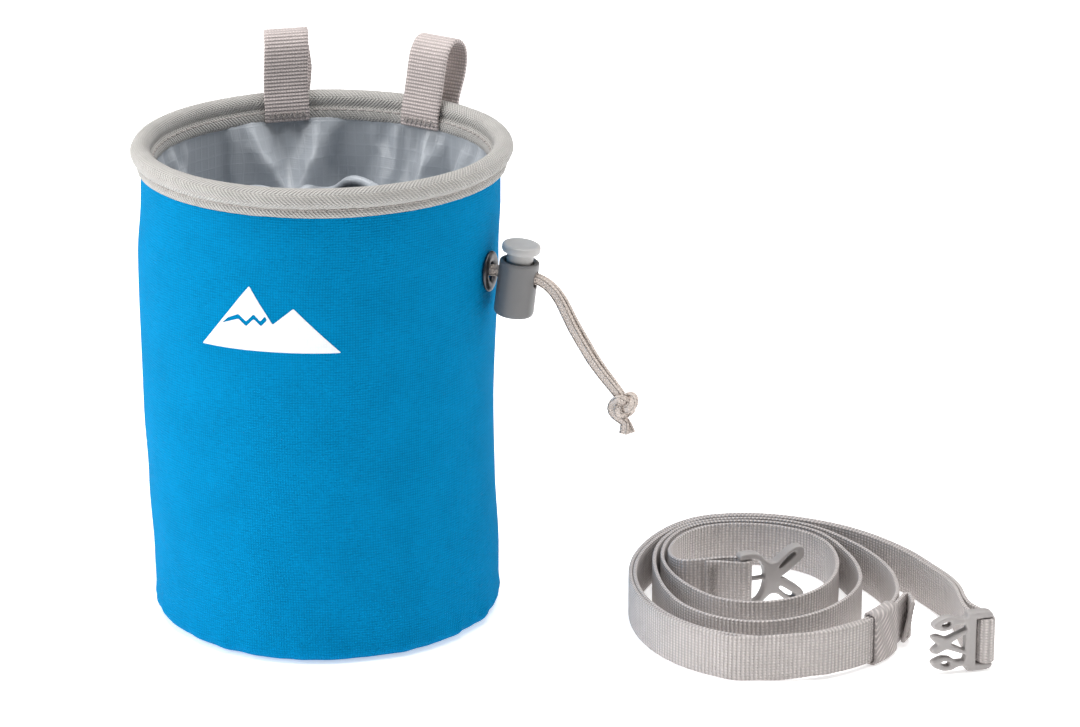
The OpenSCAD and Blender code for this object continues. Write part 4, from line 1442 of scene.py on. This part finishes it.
class CHALKBAG_OT_belt(Operator):
    """The coiled belt: one strip of webbing, its stitching and the elastic keeper"""
    bl_idname = "chalkbag.belt"
    bl_label = "Belt"

    def execute(self, _context):
        steps = 4
        line = [Vector((x, y, lift + WEB_W / 2)) for x, y, lift in belt_route()]
        path = smooth_route(line, steps)
        outward = TIP_OUT.to_3d()
        leaf_from = len(path) - 1 - LEAF_STEPS * steps

        def across(i):
            """Upright, but the tip's last leaf leans out at its top."""
            lean = LEAF_LEAN * max(0.0, (i - leaf_from) / (len(path) - 1 - leaf_from))
            return Vector((0, 0, math.cos(lean))) + math.sin(lean) * outward
        piece = strap("belt_webbing_strip", path, across, WEB_W,
                      sizes().webbing_thickness / MM)
        finish_piece(recalculated(piece), "belt", "belt_webbing", ribbed_webbing(),
                     "belt_webbing")
        finish_piece(self.stitching(), "belt", "thread", twisted_thread(), "belt_bartack")
        finish_piece(self.keeper(), "keeper", "keeper_elastic", woven_elastic(), "belt_keeper")
        return {"FINISHED"}

    @staticmethod
    def stitching():
        """Bartacks through the folded end at the buckle and through the folded tip."""
        rows = []
        turns, thread_r = 15, 0.22
        for x in (125.4, 126.6):
            corners = [Vector((x + (0.5 if k % 2 else -0.5), -12.02, 4.6 + 11.4 * k / turns))
                       for k in range(turns + 1)]
            rows.append(zigzag("tack", corners, thread_r))
        start = ARC_C + (ARC_R + LAYER + 0.72) * TIP_OUT
        # The tip's last leaf: where it starts on the way back, how long it is, its middle.
        leaf_at, leaf_len, middle = 7.2, 3.2, 8.8
        for ahead in (5.4, 6.4):
            corners = []
            lean = LEAF_LEAN * (leaf_at - ahead) / leaf_len * 0.6 + LEAF_LEAN * 0.4
            for k in range(turns + 1):
                up = 11.8 * (k / turns - 0.5)
                out = 2.7 + 0.7 * (leaf_at - ahead) / leaf_len + up * math.sin(lean)
                p = start + (ahead + (0.45 if k % 2 else -0.45)) * TIP_ON + out * TIP_OUT
                corners.append(Vector((p.x, p.y, middle + up)))
            rows.append(zigzag("tack", corners, thread_r))
        return recalculated(joined("belt_bartack_thread", rows))

    @staticmethod
    def keeper():
        """A band of elastic around the strap and its free end, on the keeper's arc."""
        low, high = (corner.z for corner in node_box("belt_keeper"))
        low, high = low + 0.45, high - 0.45
        mid_r, half = ARC_R + LAYER / 2, 2.18
        first, spread, steps = -43, 17, 16
        ring = rounded([(-half, low), (half, low), (half, high), (-half, high)], 1.5, 6)
        columns = []
        for k in range(steps + 1):
            a = math.radians(first + spread * k / steps)
            bow = 0.25 * math.sin(math.pi * k / steps)
            column = []
            for p in ring:
                r = mid_r + p.x + math.copysign(bow, p.x)
                column.append(Vector((ARC_C.x + r * math.cos(a), ARC_C.y + r * math.sin(a), p.y)))
            columns.append(column)
        around_u = lengths(ring + [ring[0]])
        along_v = [math.radians(spread) * mid_r * k / steps for k in range(steps + 1)]
        band = grid_object("belt_keeper_elastic", columns, around_u, along_v, close_u=True)
        thick = band.modifiers.new("thick", "SOLIDIFY")
        thick.thickness = 0.85 * MM
        thick.offset = 0
        applied(band)
        return recalculated(band)


# ---------------------------------------------------------------- the buckle

# Half-heights of a rail's inner and outer edge, the moulding's thickness and the bars.
RAIL_IN = 7.7
RAIL_OUT = 10.0
BUCKLE_T = 4.0
BAR_R = 1.5


def buckle_frame(at, az):
    """X runs along the buckle, Z up from its middle."""
    return mm_place(at.x, at.y, BUCKLE_MID) @ Matrix.Rotation(az, 4, "Z")


def mirrored(points):
    """An outline's lower half after its upper one."""
    return points + [(x, -z) for x, z in reversed(points) if z != 0]


def rail_plates(length):
    """The two rails that stand above and below the webbing."""
    rails = []
    for s in (1, -1):
        outline = [(-2.0, s * RAIL_IN), (length, s * RAIL_IN), (length, s * RAIL_OUT),
                   (0.6, s * RAIL_OUT), (-1.4, s * (RAIL_OUT - 0.5)), (-2.0, s * (RAIL_IN + 0.8))]
        rails.append(plate("rail", [outline if s > 0 else outline[::-1]], BUCKLE_T, 0.5, 0.7))
    return rails


class CHALKBAG_OT_buckle(Operator):
    """Both halves of the side-release buckle and the two sprung arms"""
    bl_idname = "chalkbag.buckle"
    bl_label = "Buckle"

    def execute(self, _context):
        finish_piece(self.female(), "female_half", "buckle_plastic", buckle_acetal(),
                     "buckle_female")
        finish_piece(self.male(), "male_half", "buckle_plastic", buckle_acetal(),
                     "buckle_male")
        for side, name in ((1, "upper"), (-1, "lower")):
            finish_piece(self.arm(side, name), name + "_arm", "buckle_plastic",
                         buckle_acetal(), "buckle_arm_" + name)
        return {"FINISHED"}

    @staticmethod
    def female():
        """Round-shouldered frame, waisted body and two hollow horns."""
        edge = [(12.6, 0), (14.4, 0.7), (19.6, 4.4), (21.3, 6.2), (21.4, 8.9), (20.0, 10.1),
                (17.8, 10.1), (15.2, 8.7), (11.6, 5.7), (9.4, 5.3), (7.4, 6.8), (5.2, 9.2),
                (2.6, RAIL_OUT), (-1.2, RAIL_OUT), (-2.1, RAIL_OUT - 1.0), (-1.8, RAIL_IN),
                (3.2, RAIL_IN), (5.4, 6.6), (6.9, 4.0), (7.4, 1.6), (7.5, 0)]
        slots = [[(12.0, s * 3.5), (12.9, s * 3.0), (18.4, s * 6.9), (18.6, s * 8.2),
                  (17.4, s * 8.2), (15.2, s * 6.8)] for s in (1, -1)]
        body = plate("body", [mirrored(edge)] + slots, BUCKLE_T, 0.6, 1.0)
        bar = round_bar("bar", BAR_R, -RAIL_IN - 0.5, RAIL_IN + 0.5)
        # A low rib crosses the opening behind the webbing.
        rib = plate("rib", [[(3.2, -0.7), (8.2, -0.7), (8.2, 0.7), (3.2, 0.7)]], 1.6, 0.3, 0.4)
        put(rib, mm_place(0, 0.8, 0))
        whole = joined("buckle_female_moulding", [body, bar, rib])
        moulded(whole, 0.27, 5)
        return put(whole, buckle_frame(BAR_F, FEMALE_AZ))

    @staticmethod
    def male():
        """Ladder frame with the forked guide between the two arms."""
        frame_edge = [(3.7, RAIL_IN + 0.6), (8.2, RAIL_IN + 0.6), (6.6, 4.4)]
        ladder = plate("ladder", [mirrored(frame_edge[::-1])], BUCKLE_T, 0.5, 0.8)
        guide_edge = [(6.2, 4.6), (13.4, 1.8), (16.4, 3.2), (18.6, 2.7), (18.1, 1.5), (16, 0)]
        hole = [(7.2, 2.8), (11.8, 0.35), (11.8, -0.35), (7.2, -2.8)]
        guide = plate("guide", [mirrored(guide_edge), hole], BUCKLE_T - 0.8, 0.5, 0.7)
        bar = round_bar("bar", BAR_R, -RAIL_IN - 0.5, RAIL_IN + 0.5)
        whole = joined("buckle_male_moulding", [ladder, guide, bar] + rail_plates(6.6))
        moulded(whole, 0.25, 5)
        return put(whole, buckle_frame(BAR_M, MALE_AZ))

    @staticmethod
    def arm(side, name):
        """A leaf-shaped head with an eye, on a neck that springs."""
        root_x, root_z = 7.6, RAIL_IN - 0.5
        leaf = [(-1.3, -0.9), (-1.3, 0.9), (1.8, 0.9), (3.6, 1.9), (6.6, 2.0), (9.6, 0.7),
                (10.8, -0.5), (10.4, -1.6), (7.2, -2.8), (4.4, -2.4), (2.6, -0.9)]
        eye = [(4.6, -1.1), (4.6, 0.4), (6.4, 0.3), (7.7, -0.6), (7.0, -1.4)]
        outlines = [[(root_x + x, side * (root_z + z)) for x, z in line]
                    for line in (leaf, eye)]
        head = plate("buckle_arm_" + name + "_moulding", outlines, BUCKLE_T - 0.6, 0.7, 0.8)
        set_smooth(head.data, False)
        moulded(head, 0.22, 4)
        return put(head, buckle_frame(BAR_M, MALE_AZ))


# ---------------------------------------------------------------- panel and running order

OPERATORS = (
    CHALKBAG_OT_stage,
    CHALKBAG_OT_drawcord,
    CHALKBAG_OT_shell,
    CHALKBAG_OT_rim,
    CHALKBAG_OT_collar,
    CHALKBAG_OT_loops,
    CHALKBAG_OT_eyelet,
    CHALKBAG_OT_sign,
    CHALKBAG_OT_cord_lock,
    CHALKBAG_OT_belt,
    CHALKBAG_OT_buckle,
)


class CHALKBAG_PT_panel(Panel):
    """Lists the pieces of the chalk bag and what can be changed about them"""
    bl_idname = "CHALKBAG_PT_panel"
    bl_label = "Chalk bag"
    bl_space_type = "VIEW_3D"
    bl_region_type = "UI"
    bl_category = "Chalk bag"

    def draw(self, context):
        column = self.layout.column(align=True)
        for operator in OPERATORS:
            column.operator(operator.bl_idname)
        for group in (context.scene.chalk_bag_sizes, context.scene.chalk_bag_colours):
            box = self.layout.box()
            for key in group.bl_rna.properties.keys():
                if key not in ("rna_type", "name"):
                    box.prop(group, key)


CLASSES = (ChalkBagSizes, ChalkBagColours) + OPERATORS + (CHALKBAG_PT_panel,)


def register():
    """Adds the classes and the two groups of settings."""
    for cls in CLASSES:
        bpy.utils.register_class(cls)
    bpy.types.Scene.chalk_bag_sizes = PointerProperty(type=ChalkBagSizes)
    bpy.types.Scene.chalk_bag_colours = PointerProperty(type=ChalkBagColours)


def unregister():
    """Takes them away again."""
    del bpy.types.Scene.chalk_bag_colours
    del bpy.types.Scene.chalk_bag_sizes
    for cls in reversed(CLASSES):
        bpy.utils.unregister_class(cls)


def main():
    """Makes every piece in order."""
    register()
    for operator in OPERATORS:
        group, name = operator.bl_idname.split(".")
        if getattr(getattr(bpy.ops, group), name)() != {"FINISHED"}:
            raise RuntimeError(operator.bl_label + " was not finished")
    declare_cords()


if __name__ == "__main__":
    main()
